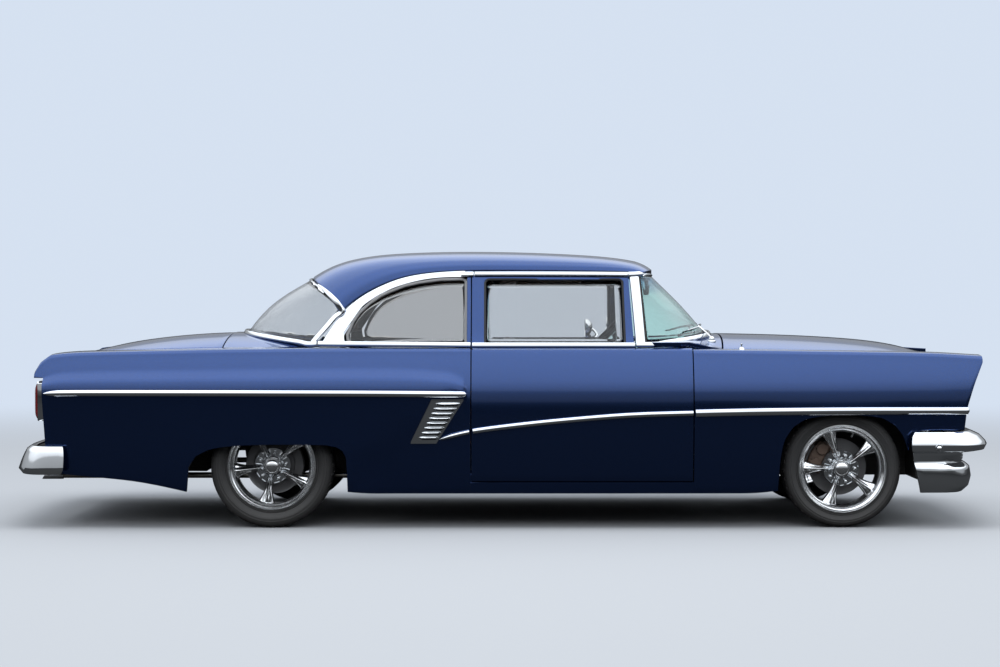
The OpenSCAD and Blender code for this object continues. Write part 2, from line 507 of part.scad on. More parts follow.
// Top of the quarter window: x, height
QUARTER = [[-830, 1020], [-772, 1142], [-719, 1191], [-612, 1255], [-451, 1304], [-344, 1320], [-199, 1323]];
module quarter_glass() color(pane) both() {
  xs = [-825, -790, -735, -660, -560, -440, -320, -199];
  grid = function(d) [for (x = xs) [for (t = [0, 0.5, 1]) let (z = mix(shoulder_z(x) + 3.4, at(QUARTER, x) - 1, t))
    [x, glass_y(x, z) - d, z]]];
  sheet(grid(14), grid(14 + glass_t));
}
module door_pane() color(pane) {
  grid = function(d) [for (k = [0:4]) [for (z = [belt_z + 3.3, 1130, window_top_z - seat_gap])
    let (t = (z - belt_z) / (frame_top_z - belt_z), x = mix(-100.5, mix(644.5, 635.5, t), k / 4))
      [x, glass_y(x, z) - d, z]]];
  sheet(grid(14), grid(14 + glass_t));
}
module door_glass_left() door_pane();
module door_glass_right() mirror([0, 1, 0]) door_pane();

// Bright arch over the quarter window, between the glass and the roof's edge
module window_trim() color(chrome) both() {
  us = concat([0.477], [for (k = [7:14]) k / 14]);
  grid = function(d) [for (k = [0:8]) let (o = [along(ROOF, us[k], 0), along(ROOF, us[k], 1)], x = mix(-200, -829, k / 8),
      i = [x - 9, at(QUARTER, x) + 8])
    [for (r = [0.06, 0.5, 1]) let (p = k < 8 ? mix(o, i, r) : mix([-862, 1144], [-858, 1030], r))
      [p.x, glass_y(p.x, p.y) - d, p.y]]];
  foot = function(d) [for (e = [[[-862, 1144], [-858, 1030]], [[-920, 1065], [-854, 1000]],
      [[-986, shoulder_z(-986) + 3.4], [-842, shoulder_z(-842) + 3.4]]])
    [for (r = [0, 0.5, 1]) let (p = mix(e[0], e[1], r)) [p.x, glass_y(p.x, p.y) - d, p.y]]];
  sheet(concat(grid(2), [foot(2)[1], foot(2)[2]]), concat(grid(24), [foot(24)[1], foot(24)[2]]));
}

// Louvre panel, laid on the quarter's own facets
module louvres() color(chrome) both() {
  cols = quarter_cols();
  grid = function(d) [for (i = [2:5]) [for (j = [2:4]) let (p = cols[i][j]) [p.x, quarter_w(p.x, p.y) + d, p.y]]];
  sheet(grid(8), grid(seat_gap));
}

module front_panel() color(paint) {
  translate([2408, 0, 0]) rotate([90, 0, 90]) linear_extrude(height = 24) front_panel_shape();
  both() bar([2262 + seat_gap, 300, 767], [2409, 340, 800]);
}
module headlamps() color(chrome) both() translate([2432.3, 690, 730]) rotate([0, 90, 0]) {
  rotate_extrude($fn = 64) polygon([[90, 0], [112, 0], [112, 8], [104, 16], [94, 12]]);
  rotate_extrude($fn = 64) polygon([[0, -30], [89.5, -8], [91, 6], [60, 22], [0, 28]]);
}
module grille() color(chrome) {
  half = 560 - seat_gap;
  for (z = [540, 756.7]) bar([2400, -half, z - 8], [2440, half, z + 8]);
  for (k = [-12:12]) bar([2404, 44 * k - 7, 540], [2432, 44 * k + 7, 752]);
  bar([2402, -half, 630], [2446, half, 656]);
  both() bar([2400, half - 18, 540], [2440, half, 752]);
}
// Bumper drawn along its plan curve: nose x, half width, face as rows of
// [distance back, height, length of the side], thickness
module bumper(x1, half, face, thick) {
  as = [for (k = [0:24]) 180 * k / 24];
  point = function(a, f, d) let (c = abs(cos(a)) ^ 0.45, s = abs(sin(a)) ^ 0.45, k = f[0] + d)
    [x1 - sign(x1) * (f[2] - (f[2] - k) * s), sign(cos(a)) * (half - 0.3 * f[0] - 0.7 * d) * c, f[1]];
  sheet([for (a = as) [for (f = face) point(a, f, 0)]], [for (a = as) [for (f = face) point(a, f, thick)]]);
}
module front_bumper() color(chrome) {
  bumper(half_len, 962, [[94, 511, 462], [40, 488, 478], [8, 456, 482], [0, 440, 482], [14, 412, 480], [60, 404, 476],
    [140, 399, 470], [140, 347, 462], [120, 338, 460], [98, 320, 456], [90, 270, 446], [105, 220, 434],
    [140, 192, 428]], 30);
  both() bar([2262 + seat_gap, 420, 262], [half_len - 130, 450, 330]);
}
module rear_bumper() color(chrome) {
  bumper(-half_len, 950, [[75, 435, 300], [48, 418, 306], [20, 370, 309], [0, 312, 306], [24, 288, 292]], 30);
  both() bar([-half_len + 40, 420, 330], [-2432 - seat_gap, 450, 380]);
}
module tail_lamps() color([0.5, 0.05, 0.06]) both()
  bar([-2470, 705, 566], [-2432.3, 805, 772]);

module front_seat() color([0.35, 0.25, 0.2]) {
  across(-640, 640, [[0, floor_z + 0.3], [470, floor_z + 0.3], [500, 480], [470, 545], [60, 520], [-20, seat_top_z - 30],
    [-50, seat_top_z], [-100, seat_top_z - 20], [-60, 480]]);
}
module rear_seat() color([0.35, 0.25, 0.2]) {
  across(-555, 555, [[-735, 500.4], [-741, 540], [-790, 575], [-1200, 560], [-1340, 940], [-1400, 950], [-1419, 900],
    [-1419, 500.4]]);
}
module dashboard() color(paint) {
  across(-690, 690, [[1061.5, 700], [1061.5, 925], [900, 945], [800, 930], [770, 880], [790, 780], [850, 760], [860, 700]]);
  translate([585, 370, 985]) rotate([0, -45, 0]) translate([0, 0, -420]) cylinder(r = 26, h = 420 - 150 - seat_gap);
}
module steering_wheel() color(dark) translate([585, 370, 985]) rotate([0, -45, 0]) {
  rotate_extrude($fn = 64) translate([steer_r - 13, 0]) circle(r = 13, $fn = 24);
  for (a = [0, 120, 240]) rotate([0, 0, a]) translate([0, 0, -4]) rotate([0, 90, 0]) cylinder(r = 9, h = steer_r - 16);
  translate([0, 0, -30]) cylinder(r = 40, h = 36);
  translate([0, 0, -150]) cylinder(r = 22, h = 130);
}

frame();
underbody();
engine();
front_arms();
rear_axle();
exhaust();
knuckle_left();
knuckle_right();
tyre_front_left();
tyre_front_right();
tyre_rear_left();
tyre_rear_right();
rim_front_left();
rim_front_right();
rim_rear_left();
rim_rear_right();
fender_left();
fender_right();
quarter_left();
quarter_right();
sills();
door_left();
door_right();
cowl();
hood();
pillars();
roof();
rear_deck();
trunk_lid();
tail_panel();
front_panel();
windshield();
rear_glass();
quarter_glass();
door_glass_left();
door_glass_right();
window_trim();
louvres();
grille();
front_bumper();
rear_bumper();
headlamps();
tail_lamps();
front_seat();
rear_seat();
dashboard();
steering_wheel();
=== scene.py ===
import math

import bmesh
import bpy
from mathutils import Matrix, Vector
from mathutils.bvhtree import BVHTree


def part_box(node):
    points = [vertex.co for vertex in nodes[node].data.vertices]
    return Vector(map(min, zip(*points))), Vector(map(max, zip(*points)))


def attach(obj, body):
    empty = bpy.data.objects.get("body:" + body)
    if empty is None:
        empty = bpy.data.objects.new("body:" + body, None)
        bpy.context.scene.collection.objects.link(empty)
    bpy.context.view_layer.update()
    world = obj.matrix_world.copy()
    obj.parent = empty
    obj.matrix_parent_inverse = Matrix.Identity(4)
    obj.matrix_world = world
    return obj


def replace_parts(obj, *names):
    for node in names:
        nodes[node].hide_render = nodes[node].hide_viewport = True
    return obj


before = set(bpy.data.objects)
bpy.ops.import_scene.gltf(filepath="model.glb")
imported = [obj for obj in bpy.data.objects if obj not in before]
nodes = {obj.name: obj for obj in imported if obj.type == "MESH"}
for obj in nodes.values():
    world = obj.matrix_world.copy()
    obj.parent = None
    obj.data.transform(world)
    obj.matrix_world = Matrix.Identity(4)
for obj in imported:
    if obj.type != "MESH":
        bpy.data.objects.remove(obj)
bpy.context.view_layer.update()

# Studio. The car stands on a plain pale floor under a wide soft sky. The camera is level with the
# driver's head, square to the right side, and tipped down a little as in the photograph.
# Away from the camera's own sight, floor and sky keep the dark ground and bright dome that paint mirrors.
scene = bpy.context.scene
scene.view_settings.view_transform = "Standard"
camera_data = bpy.data.cameras.new("camera")
camera_data.lens = 75.2
camera_data.clip_end = 400
camera = bpy.data.objects.new("camera", camera_data)
camera.location = (-0.021, -11.9, 1.207)
camera.rotation_euler = (math.radians(90 - 0.92), 0, 0)
scene.collection.objects.link(camera)
scene.camera = camera


def seen_or_mirrored(tree, seen, mirrored):
    """A colour that is one thing to the eye and another to whatever mirrors it."""
    path = tree.nodes.new("ShaderNodeLightPath")
    sight = tree.nodes.new("ShaderNodeMath")
    sight.use_clamp = True
    choice = tree.nodes.new("ShaderNodeMix")
    choice.data_type = "RGBA"
    tree.links.new(path.outputs["Is Camera Ray"], sight.inputs[0])
    tree.links.new(path.outputs["Is Transmission Ray"], sight.inputs[1])
    tree.links.new(sight.outputs[0], choice.inputs["Factor"])
    for socket, colour in ((choice.inputs[7], seen), (choice.inputs[6], mirrored)):
        if isinstance(colour, tuple):
            socket.default_value = (*colour, 1)
        else:
            tree.links.new(colour, socket)
    return choice.outputs[2]


WALL = (0.67, 0.755, 0.88)
sky = bpy.data.worlds.new("sky")
sky.use_nodes = True
scene.world = sky
dome = sky.node_tree
dome_place = dome.nodes.new("ShaderNodeTexCoord")
dome_split = dome.nodes.new("ShaderNodeSeparateXYZ")
dome_ramp = dome.nodes.new("ShaderNodeValToRGB")
dome.links.new(dome_place.outputs["Generated"], dome_split.inputs[0])
dome.links.new(dome_split.outputs["Z"], dome_ramp.inputs[0])
for place_up in (0.060, 0.085, 0.235, 0.265, 0.42):
    dome_ramp.color_ramp.elements.new(place_up)
for stop, tone in zip(dome_ramp.color_ramp.elements, (0.03, 0.09, 0.34, 0.46, 0.92, 1.5, 2.1)):
    stop.color = (tone * 0.95, tone, tone * 1.06, 1)
dome.links.new(
    seen_or_mirrored(dome, WALL, dome_ramp.outputs[0]),
    dome.nodes["Background"].inputs[0])
dome.nodes["Background"].inputs[1].default_value = 1.0

floor_mesh = bpy.data.meshes.new("studio_floor")
bm = bmesh.new()
bmesh.ops.create_circle(bm, cap_ends=True, segments=96, radius=120)
bm.to_mesh(floor_mesh)
bm.free()
floor = bpy.data.objects.new("studio_floor", floor_mesh)
scene.collection.objects.link(floor)
floor_paint = bpy.data.materials.new("pale_floor")
floor_paint.use_nodes = True
floor_shader = floor_paint.node_tree.nodes["Principled BSDF"]
floor_shader.inputs["Roughness"].default_value = 0.85
floor_shader.inputs["Emission Strength"].default_value = 1.0
floor_shader.inputs["Specular IOR Level"].default_value = 0.0
floor_tree = floor_paint.node_tree
reach = floor_tree.nodes.new("ShaderNodeVectorMath")
reach.operation = "LENGTH"
floor_tree.links.new(floor_tree.nodes.new("ShaderNodeTexCoord").outputs["Object"], reach.inputs[0])
for label, seen, far, mirrored in (("Base Color", (0.30, 0.31, 0.325), (0, 0, 0), (0.024, 0.0245, 0.025)),
                                   ("Emission Color", (0, 0, 0), WALL, (0, 0, 0))):
    fade = floor_tree.nodes.new("ShaderNodeValToRGB")
    fade.color_ramp.interpolation = "EASE"
    span = floor_tree.nodes.new("ShaderNodeMath")
    span.operation = "DIVIDE"
    span.inputs[1].default_value = 14.0
    floor_tree.links.new(reach.outputs["Value"], span.inputs[0])
    floor_tree.links.new(span.outputs[0], fade.inputs[0])
    fade.color_ramp.elements[0].position = 0.40
    fade.color_ramp.elements[0].color = (*seen, 1)
    fade.color_ramp.elements[1].color = (*far, 1)
    floor_tree.links.new(seen_or_mirrored(floor_tree, fade.outputs[0], mirrored), floor_shader.inputs[label])
floor_mesh.materials.append(floor_paint)

for lamp_name, place, aim, size, watts in (
        ("overhead_softbox", (0.4, -1.5, 7.5), (0.2, 0, 0.5), (9, 4), 420),
        ("side_softbox", (0.0, -9.5, 5.2), (0, 0, 0.7), (12, 3), 240)):
    lamp_data = bpy.data.lights.new(lamp_name, "AREA")
    lamp_data.shape = "RECTANGLE"
    lamp_data.size, lamp_data.size_y = size
    lamp_data.energy = watts
    lamp = bpy.data.objects.new(lamp_name, lamp_data)
    lamp.location = place
    lamp.visible_glossy = False
    lamp.rotation_euler = (Vector(aim) - Vector(place)).to_track_quat("-Z", "Y").to_euler()
    scene.collection.objects.link(lamp)

# Chassis. The ladder frame, floor pan, arms and axle are welded and forged steel under satin black paint.
# They carry a film of road dust that thins out upwards, and their colour is never quite even.


def effect(name, inputs, outputs):
    """An empty shader effect with named sockets."""
    tree = bpy.data.node_groups.new(name, "ShaderNodeTree")
    for label, kind, value in inputs:
        tree.interface.new_socket(name=label, in_out="INPUT", socket_type=kind).default_value = value
    for label, kind in outputs:
        tree.interface.new_socket(name=label, in_out="OUTPUT", socket_type=kind)
    return tree, tree.nodes.new("NodeGroupInput").outputs, tree.nodes.new("NodeGroupOutput").inputs


def step(tree, kind, *sources, **settings):
    """One node of an effect, fed in order by values or by other nodes' sockets."""
    made = tree.nodes.new("ShaderNode" + kind)
    for label, value in settings.items():
        setattr(made, label, value)
    for k, source in enumerate(sources):
        if isinstance(source, bpy.types.NodeSocket):
            tree.links.new(source, made.inputs[k])
        elif source is not None:
            made.inputs[k].default_value = source
    return made.outputs


COLOUR, NUMBER = "NodeSocketColor", "NodeSocketFloat"
surface, given, made = effect(
    "uneven_surface",
    (("Color", COLOUR, (0.5, 0.5, 0.5, 1)), ("Patch", NUMBER, 0.2), ("Spread", NUMBER, 0.1),
     ("Roughness", NUMBER, 0.5), ("Rough Spread", NUMBER, 0.1), ("Grain", NUMBER, 0.002)),
    (("Color", COLOUR), ("Roughness", NUMBER), ("Height", NUMBER)))
spot = step(surface, "TexCoord")["Object"]
per_patch = step(surface, "Math", 1.0, given["Patch"], operation="DIVIDE")[0]
per_grain = step(surface, "Math", 1.0, given["Grain"], operation="DIVIDE")[0]
patches = step(surface, "TexNoise", spot, None, per_patch, 4.0)[0]
grains = step(surface, "TexNoise", spot, None, per_grain, 2.0)[0]
lean = step(surface, "Math", patches, 0.5, operation="SUBTRACT")[0]
shade = step(surface, "Math", lean, given["Spread"], 1.0, operation="MULTIPLY_ADD")[0]
surface.links.new(step(surface, "VectorMath", given["Color"], shade, operation="MULTIPLY")[0], made["Color"])
surface.links.new(
    step(surface, "Math", lean, given["Rough Spread"], given["Roughness"], operation="MULTIPLY_ADD")[0],
    made["Roughness"])
surface.links.new(grains, made["Height"])

dust, given, made = effect(
    "road_dust",
    (("Color", COLOUR, (0.1, 0.1, 0.1, 1)), ("Dust", COLOUR, (0.22, 0.20, 0.17, 1)),
     ("Top", NUMBER, 0.45), ("Amount", NUMBER, 0.5)),
    (("Color", COLOUR), ("Mask", NUMBER)))
spot = step(dust, "TexCoord")["Object"]
height = step(dust, "SeparateXYZ", spot)["Z"]
low = step(dust, "MapRange", height, 0.0, given["Top"], 1.0, 0.0)[0]
clumps = step(dust, "TexNoise", spot, None, 14.0, 5.0)[0]
film = step(dust, "Math", low, clumps, operation="MULTIPLY")[0]
film = step(dust, "Math", film, given["Amount"], operation="MULTIPLY", use_clamp=True)[0]
layered = dust.nodes.new("ShaderNodeMix")
layered.data_type = "RGBA"
for source, socket in ((film, layered.inputs["Factor"]), (given["Color"], layered.inputs[6]),
                       (given["Dust"], layered.inputs[7]), (layered.outputs[2], made["Color"]),
                       (film, made["Mask"])):
    dust.links.new(source, socket)


def finish_of(name, colour, patch=0.25, spread=0.2, roughness=0.5, rough_spread=0.15, grain=0.002,
              bump=0.0, dusty=0.0, **plain):
    """A material: plain values on the shader, unevenness, grain and dust from the shared effects."""
    material = bpy.data.materials.new(name)
    material.use_nodes = True
    tree = material.node_tree
    shader = tree.nodes["Principled BSDF"]
    for label, value in plain.items():
        shader.inputs[label.replace("_", " ")].default_value = value
    uneven = tree.nodes.new("ShaderNodeGroup")
    uneven.node_tree = surface
    for label, value in (("Color", (*colour, 1)), ("Patch", patch), ("Spread", spread),
                         ("Roughness", roughness), ("Rough Spread", rough_spread), ("Grain", grain)):
        uneven.inputs[label].default_value = value
    tone = uneven.outputs["Color"]
    if dusty:
        film = tree.nodes.new("ShaderNodeGroup")
        film.node_tree = dust
        film.inputs["Amount"].default_value = dusty
        tree.links.new(tone, film.inputs["Color"])
        tone = film.outputs["Color"]
    tree.links.new(tone, shader.inputs["Base Color"])
    tree.links.new(uneven.outputs["Roughness"], shader.inputs["Roughness"])
    if bump:
        relief = tree.nodes.new("ShaderNodeBump")
        relief.inputs["Strength"].default_value = 0.6
        relief.inputs["Distance"].default_value = bump
        tree.links.new(uneven.outputs["Height"], relief.inputs["Height"])
        tree.links.new(relief.outputs[0], shader.inputs["Normal"])
    return material


def dress(node, material):
    """Gives a CAD node that stays as it is a better finish."""
    nodes[node].data.materials.clear()
    nodes[node].data.materials.append(material)


chassis_black = finish_of("chassis_black", (0.018, 0.018, 0.019), roughness=0.5, grain=0.004, bump=0.0003,
                          dusty=0.7)
undercoat = finish_of("undercoat", (0.022, 0.022, 0.022), roughness=0.8, grain=0.012, bump=0.0015, dusty=0.8)
for node in ("frame", "front_arms", "rear_axle"):
    dress(node, chassis_black)
dress("underbody", undercoat)

# Exhaust. Two stainless pipes run back under the sills and leave under the rear bumper.
# Bare steel, straw-brown from heat towards the engine.
stainless = finish_of("stainless_pipe", (0.42, 0.39, 0.35), patch=0.15, spread=0.5, roughness=0.3, grain=0.01,
                      bump=0.0002, dusty=0.4, Metallic=1.0)
dress("exhaust", stainless)

# Engine. A cast V8 with block and heads in grey enamel. It sits between the frame rails on rubber mounts.
# Its covers, air cleaner and manifolds come last, with the other fittings under the hood.
engine_grey = finish_of("engine_enamel", (0.10, 0.11, 0.12), roughness=0.42, grain=0.006, bump=0.0006, dusty=0.3)
dress("engine", engine_grey)

# Body panels. Pressed steel: fenders, quarters, doors, sills, hood, roof, deck, lid and the panels
# front and back, each smoothed from its CAD solid, with folded edges kept crisp.
# The finish is a deep blue metallic under clear lacquer, with fine flake and a trace of orange peel.


def piece_of(bm, name, body, *materials):
    """Turns a finished bmesh into a piece of the car that rides on a body."""
    mesh = bpy.data.meshes.new(name)
    bm.to_mesh(mesh)
    bm.free()
    for material in materials:
        mesh.materials.append(material)
    made_piece = bpy.data.objects.new(name, mesh)
    scene.collection.objects.link(made_piece)
    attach(made_piece, body)
    return made_piece


def round_off(made_piece, levels=2, hem=0.0):
    """Live subdivision, and a narrow rolled edge where a panel ends."""
    for face in made_piece.data.polygons:
        face.use_smooth = True
    smoother = made_piece.modifiers.new("smooth", "SUBSURF")
    smoother.levels = smoother.render_levels = levels
    if hem:
        roll = made_piece.modifiers.new("hem", "BEVEL")
        roll.width = hem
        roll.segments = 2
        roll.limit_method = "ANGLE"
        roll.angle_limit = math.radians(40)
        roll.harden_normals = False
    return made_piece


def smoothed_copy(node, soft=math.radians(16), hard=math.radians(48)):
    """The node's solid, merged and made of quads; edges past hard stay sharp, under soft they flow."""
    bm = bmesh.new()
    bm.from_mesh(nodes[node].data)
    bmesh.ops.remove_doubles(bm, verts=bm.verts, dist=2e-5)
    bmesh.ops.join_triangles(bm, faces=bm.faces, angle_face_threshold=math.radians(50),
                             angle_shape_threshold=math.pi)
    crease = bm.edges.layers.float.get("crease_edge") or bm.edges.layers.float.new("crease_edge")
    for edge in bm.edges:
        turn = edge.calc_face_angle(0)
        edge[crease] = 0.0 if turn < soft else min(1.0, 0.35 + 0.65 * (turn - soft) / (hard - soft))
    for face in bm.faces:
        face.material_index = 0
    return bm


metallic, given, made = effect(
    "metal_flake",
    (("Color", COLOUR, (0.02, 0.05, 0.2, 1)), ("Flake", NUMBER, 0.0009), ("Sparkle", NUMBER, 0.5)),
    (("Color", COLOUR), ("Height", NUMBER)))
spot = step(metallic, "TexCoord")["Object"]
flakes = step(metallic, "TexVoronoi", spot, None,
              step(metallic, "Math", 1.0, given["Flake"], operation="DIVIDE")[0])
glint = step(metallic, "SeparateXYZ", flakes["Color"])["X"]
glint = step(metallic, "Math", glint, 0.5, operation="SUBTRACT")[0]
glint = step(metallic, "Math", glint, given["Sparkle"], 1.0, operation="MULTIPLY_ADD")[0]
metallic.links.new(step(metallic, "VectorMath", given["Color"], glint, operation="MULTIPLY")[0], made["Color"])
metallic.links.new(step(metallic, "TexNoise", spot, None, 160.0, 1.0)[0], made["Height"])


def lacquer(name, colour, sparkle=0.5):
    """Metallic body paint under clear coat."""
    material = bpy.data.materials.new(name)
    material.use_nodes = True
    tree = material.node_tree
    shader = tree.nodes["Principled BSDF"]
    for label, value in (("Metallic", 0.94), ("Roughness", 0.14), ("Coat Weight", 0.8),
                         ("Coat Roughness", 0.015), ("Coat IOR", 1.45)):
        shader.inputs[label].default_value = value
    shader.inputs["Specular Tint"].default_value = (0.45, 0.56, 0.85, 1)
    flake = tree.nodes.new("ShaderNodeGroup")
    flake.node_tree = metallic
    flake.inputs["Color"].default_value = (*colour, 1)
    flake.inputs["Sparkle"].default_value = sparkle
    peel = tree.nodes.new("ShaderNodeBump")
    peel.inputs["Strength"].default_value = 0.05
    peel.inputs["Distance"].default_value = 0.0004
    tree.links.new(flake.outputs["Color"], shader.inputs["Base Color"])
    tree.links.new(flake.outputs["Height"], peel.inputs["Height"])
    tree.links.new(peel.outputs[0], shader.inputs["Normal"])
    return material


blue_lacquer = lacquer("blue_lacquer", (0.019, 0.050, 0.165))
panel_pieces = {}
for node, body in (("fender_left", "body"), ("fender_right", "body"), ("quarter_left", "body"),
                   ("quarter_right", "body"), ("cowl", "body"), ("hood", "hood"), ("pillars", "body"),
                   ("roof", "body"), ("rear_deck", "body"), ("trunk_lid", "trunk_lid"),
                   ("sills", "body"), ("door_left", "door_left"), ("door_right", "door_right")):
    panel = piece_of(smoothed_copy(node), node + "_panel", body, blue_lacquer)
    round_off(panel, hem=0.0015)
    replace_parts(panel, node)
    panel_pieces[node] = panel
for node in ("tail_panel", "front_panel"):
    dress(node, blue_lacquer)

# Glass. Panes of safety glass bedded in rubber in their frames. The windshield is tinted green with a blue shade
# band along its top; the other panes are grey, and the rear one swells outwards.


def pane_of(name, colour, band=None):
    """Tinted glass; band is the colour of a shade strip and the heights it fades between."""
    material = bpy.data.materials.new(name)
    material.use_nodes = True
    tree = material.node_tree
    shader = tree.nodes["Principled BSDF"]
    for label, value in (("Roughness", 0.0), ("IOR", 1.45), ("Transmission Weight", 1.0),
                         ("Base Color", (*colour, 1))):
        shader.inputs[label].default_value = value
    if band:
        fade = step(tree, "MapRange", step(tree, "SeparateXYZ", step(tree, "TexCoord")["Object"])["Z"],
                    band[1], band[2], 0.0, 1.0)[0]
        tint = tree.nodes.new("ShaderNodeMix")
        tint.data_type = "RGBA"
        tint.inputs[6].default_value = (*colour, 1)
        tint.inputs[7].default_value = (*band[0], 1)
        tree.links.new(fade, tint.inputs["Factor"])
        tree.links.new(tint.outputs[2], shader.inputs["Base Color"])
    return material


green_glass = pane_of("green_glass", (0.72, 0.90, 0.84), ((0.30, 0.52, 0.72), 1.24, 1.34))
grey_glass = pane_of("grey_glass", (0.80, 0.80, 0.79))
smoke_glass = pane_of("smoke_glass", (0.72, 0.70, 0.67))
for node, body, glass in (("windshield", "body", green_glass), ("rear_glass", "body", grey_glass),
                          ("quarter_glass", "body", smoke_glass), ("door_glass_left", "door_left", grey_glass),
                          ("door_glass_right", "door_right", grey_glass)):
    bm = smoothed_copy(node)
    if node == "rear_glass":
        for vert in bm.verts:
            upward = math.sin(math.pi * min(1, max(0, (vert.co.z - 1.0) / 0.335)))
            across = max(0, 1 - (vert.co.y / 0.70) ** 4)
            vert.co += Vector((-0.026, 0, 0.014)) * (upward * across)
    pane = piece_of(bm, node + "_pane", body, glass)
    round_off(pane)
    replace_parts(pane, node)

# Bright metal. Bumpers, grille, window arches, mouldings and lamp rims are chrome-plated steel,
# buffed to a mirror with the faintest haze. Bumpers are one pressing each, folded round the corners.
chrome = finish_of("chrome_plate", (0.80, 0.82, 0.84), patch=0.08, spread=0.04, roughness=0.045,
                   rough_spread=0.03, grain=0.02, bump=0.00003, Metallic=1.0)
# Plain black for black parts such as blades, mirror, radiator and aprons, and also painted shade: the strips under
# the louvre slats.
black_and_painted_shade = finish_of("black_finish_with_painted_shade", (0.012, 0.012, 0.013), roughness=0.55, grain=0.004, bump=0.0002)
for node in ("front_bumper", "rear_bumper", "window_trim"):
    bright = piece_of(smoothed_copy(node), node + "_plated", "body", chrome, black_and_painted_shade)
    round_off(bright, hem=0.002)
    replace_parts(bright, node)
    panel_pieces[node] = bright


def verts_in(grown):
    """The vertices among what an extrusion made."""
    return [part for part in grown if isinstance(part, bmesh.types.BMVert)]


def outline_drawn(bm, stations):
    """Draws a closed outline from station to station, and caps its ends or joins them where they meet."""
    ring = [bm.verts.new(point) for point in stations[0]]
    start = edges = [bm.edges.new((ring[k - 1], ring[k])) for k in range(len(ring))]
    meets = (Vector(stations[0][0]) - Vector(stations[-1][0])).length < 1e-5
    if not meets:
        bmesh.ops.contextual_create(bm, geom=edges)
    for points in stations[1:-1] if meets else stations[1:]:
        grown = bmesh.ops.extrude_edge_only(bm, edges=edges)["geom"]
        fresh = set(verts_in(grown))
        ring = [next(e.other_vert(v) for e in v.link_edges if e.other_vert(v) in fresh) for v in ring]
        for vert, point in zip(ring, points):
            vert.co = point
        edges = [bm.edges.get((ring[k - 1], ring[k])) for k in range(len(ring))]
    if meets:
        bmesh.ops.bridge_loops(bm, edges=start + edges)
    else:
        bmesh.ops.contextual_create(bm, geom=edges)
    bmesh.ops.recalc_face_normals(bm, faces=bm.faces)


def skin_of(*names):
    """The finished outer faces of some panels, to lay trim on."""
    graph = bpy.context.evaluated_depsgraph_get()
    return [BVHTree.FromObject(panel_pieces[name], graph) for name in names]


def on_side(skins, x, z, side):
    """Point and outward normal of the body side at x and z, looked at from the right (-1) or left (1)."""
    hits = [tree.ray_cast(Vector((x, side * 2.0, z)), Vector((0, -side, 0))) for tree in skins]
    hits = [hit for hit in hits if hit[0] is not None]
    if not hits:
        return None
    best = min(hits, key=lambda hit: hit[3])
    return best[0], best[1]


def near(skins, point):
    """Nearest point and normal of some panels."""
    hits = [tree.find_nearest(Vector(point)) for tree in skins]
    best = min((hit for hit in hits if hit[0] is not None), key=lambda hit: hit[3])
    return best[0], best[1]


def smooth_line(points, count):
    """Even points on a smooth line through a few given ones."""
    last = len(points) - 1
    line = []
    for k in range(count + 1):
        t = k / count * last
        i = min(int(t), last - 1)
        a, b = Vector(points[max(0, i - 1)]), Vector(points[i])
        c, d = Vector(points[i + 1]), Vector(points[min(last, i + 2)])
        f = t - i
        line.append(0.5 * (2 * b + (c - a) * f + (2 * a - 5 * b + 4 * c - d) * f * f
                           + (3 * b - a - 3 * c + d) * f ** 3))
    return line


MOULDING = ((-0.5, -0.45), (-0.5, 0.15), (-0.42, 0.55), (-0.2, 0.92), (0.0, 1.0), (0.2, 0.92), (0.42, 0.55),
            (0.5, 0.15), (0.5, -0.45))


def moulding(seats, width, height, tip_in=0.0, tip_out=0.0, section=MOULDING):
    """Stations of a moulding on seats, each a point and normal; tips are shares drawn to a point."""
    stations = []
    last = len(seats) - 1
    meets = (seats[0][0] - seats[-1][0]).length < 1e-6
    for k, (point, normal) in enumerate(seats):
        ahead = seats[min(last, k + 1)][0] - seats[max(0, k - 1)][0]
        if meets and k in (0, last):
            ahead = seats[1][0] - seats[-2][0]
        across = ahead.cross(normal).normalized()
        out = across.cross(ahead).normalized()
        if out.dot(normal) < 0:
            out = -out
        share = k / last
        slim = 1.0
        if tip_in and share < tip_in:
            slim = math.sqrt(max(0.02, share / tip_in))
        if tip_out and share > 1 - tip_out:
            slim = math.sqrt(max(0.02, (1 - share) / tip_out))
        stations.append([point + across * (a * width * slim) + out * (b * height * max(slim, 0.35))
                         for a, b in section])
    return stations


def soft_shaded(made_piece, angle=40):
    """Smooth shading that breaks at the piece's real edges."""
    for face in made_piece.data.polygons:
        face.use_smooth = True
    split = made_piece.modifiers.new("edges", "EDGE_SPLIT")
    split.split_angle = math.radians(angle)
    return made_piece


def trim_piece(name, body, strips, material=chrome):
    """One piece of bright trim from one or more drawn strips."""
    bm = bmesh.new()
    for strip in strips:
        outline_drawn(bm, strip)
    return soft_shaded(piece_of(bm, name, body, material), 50)


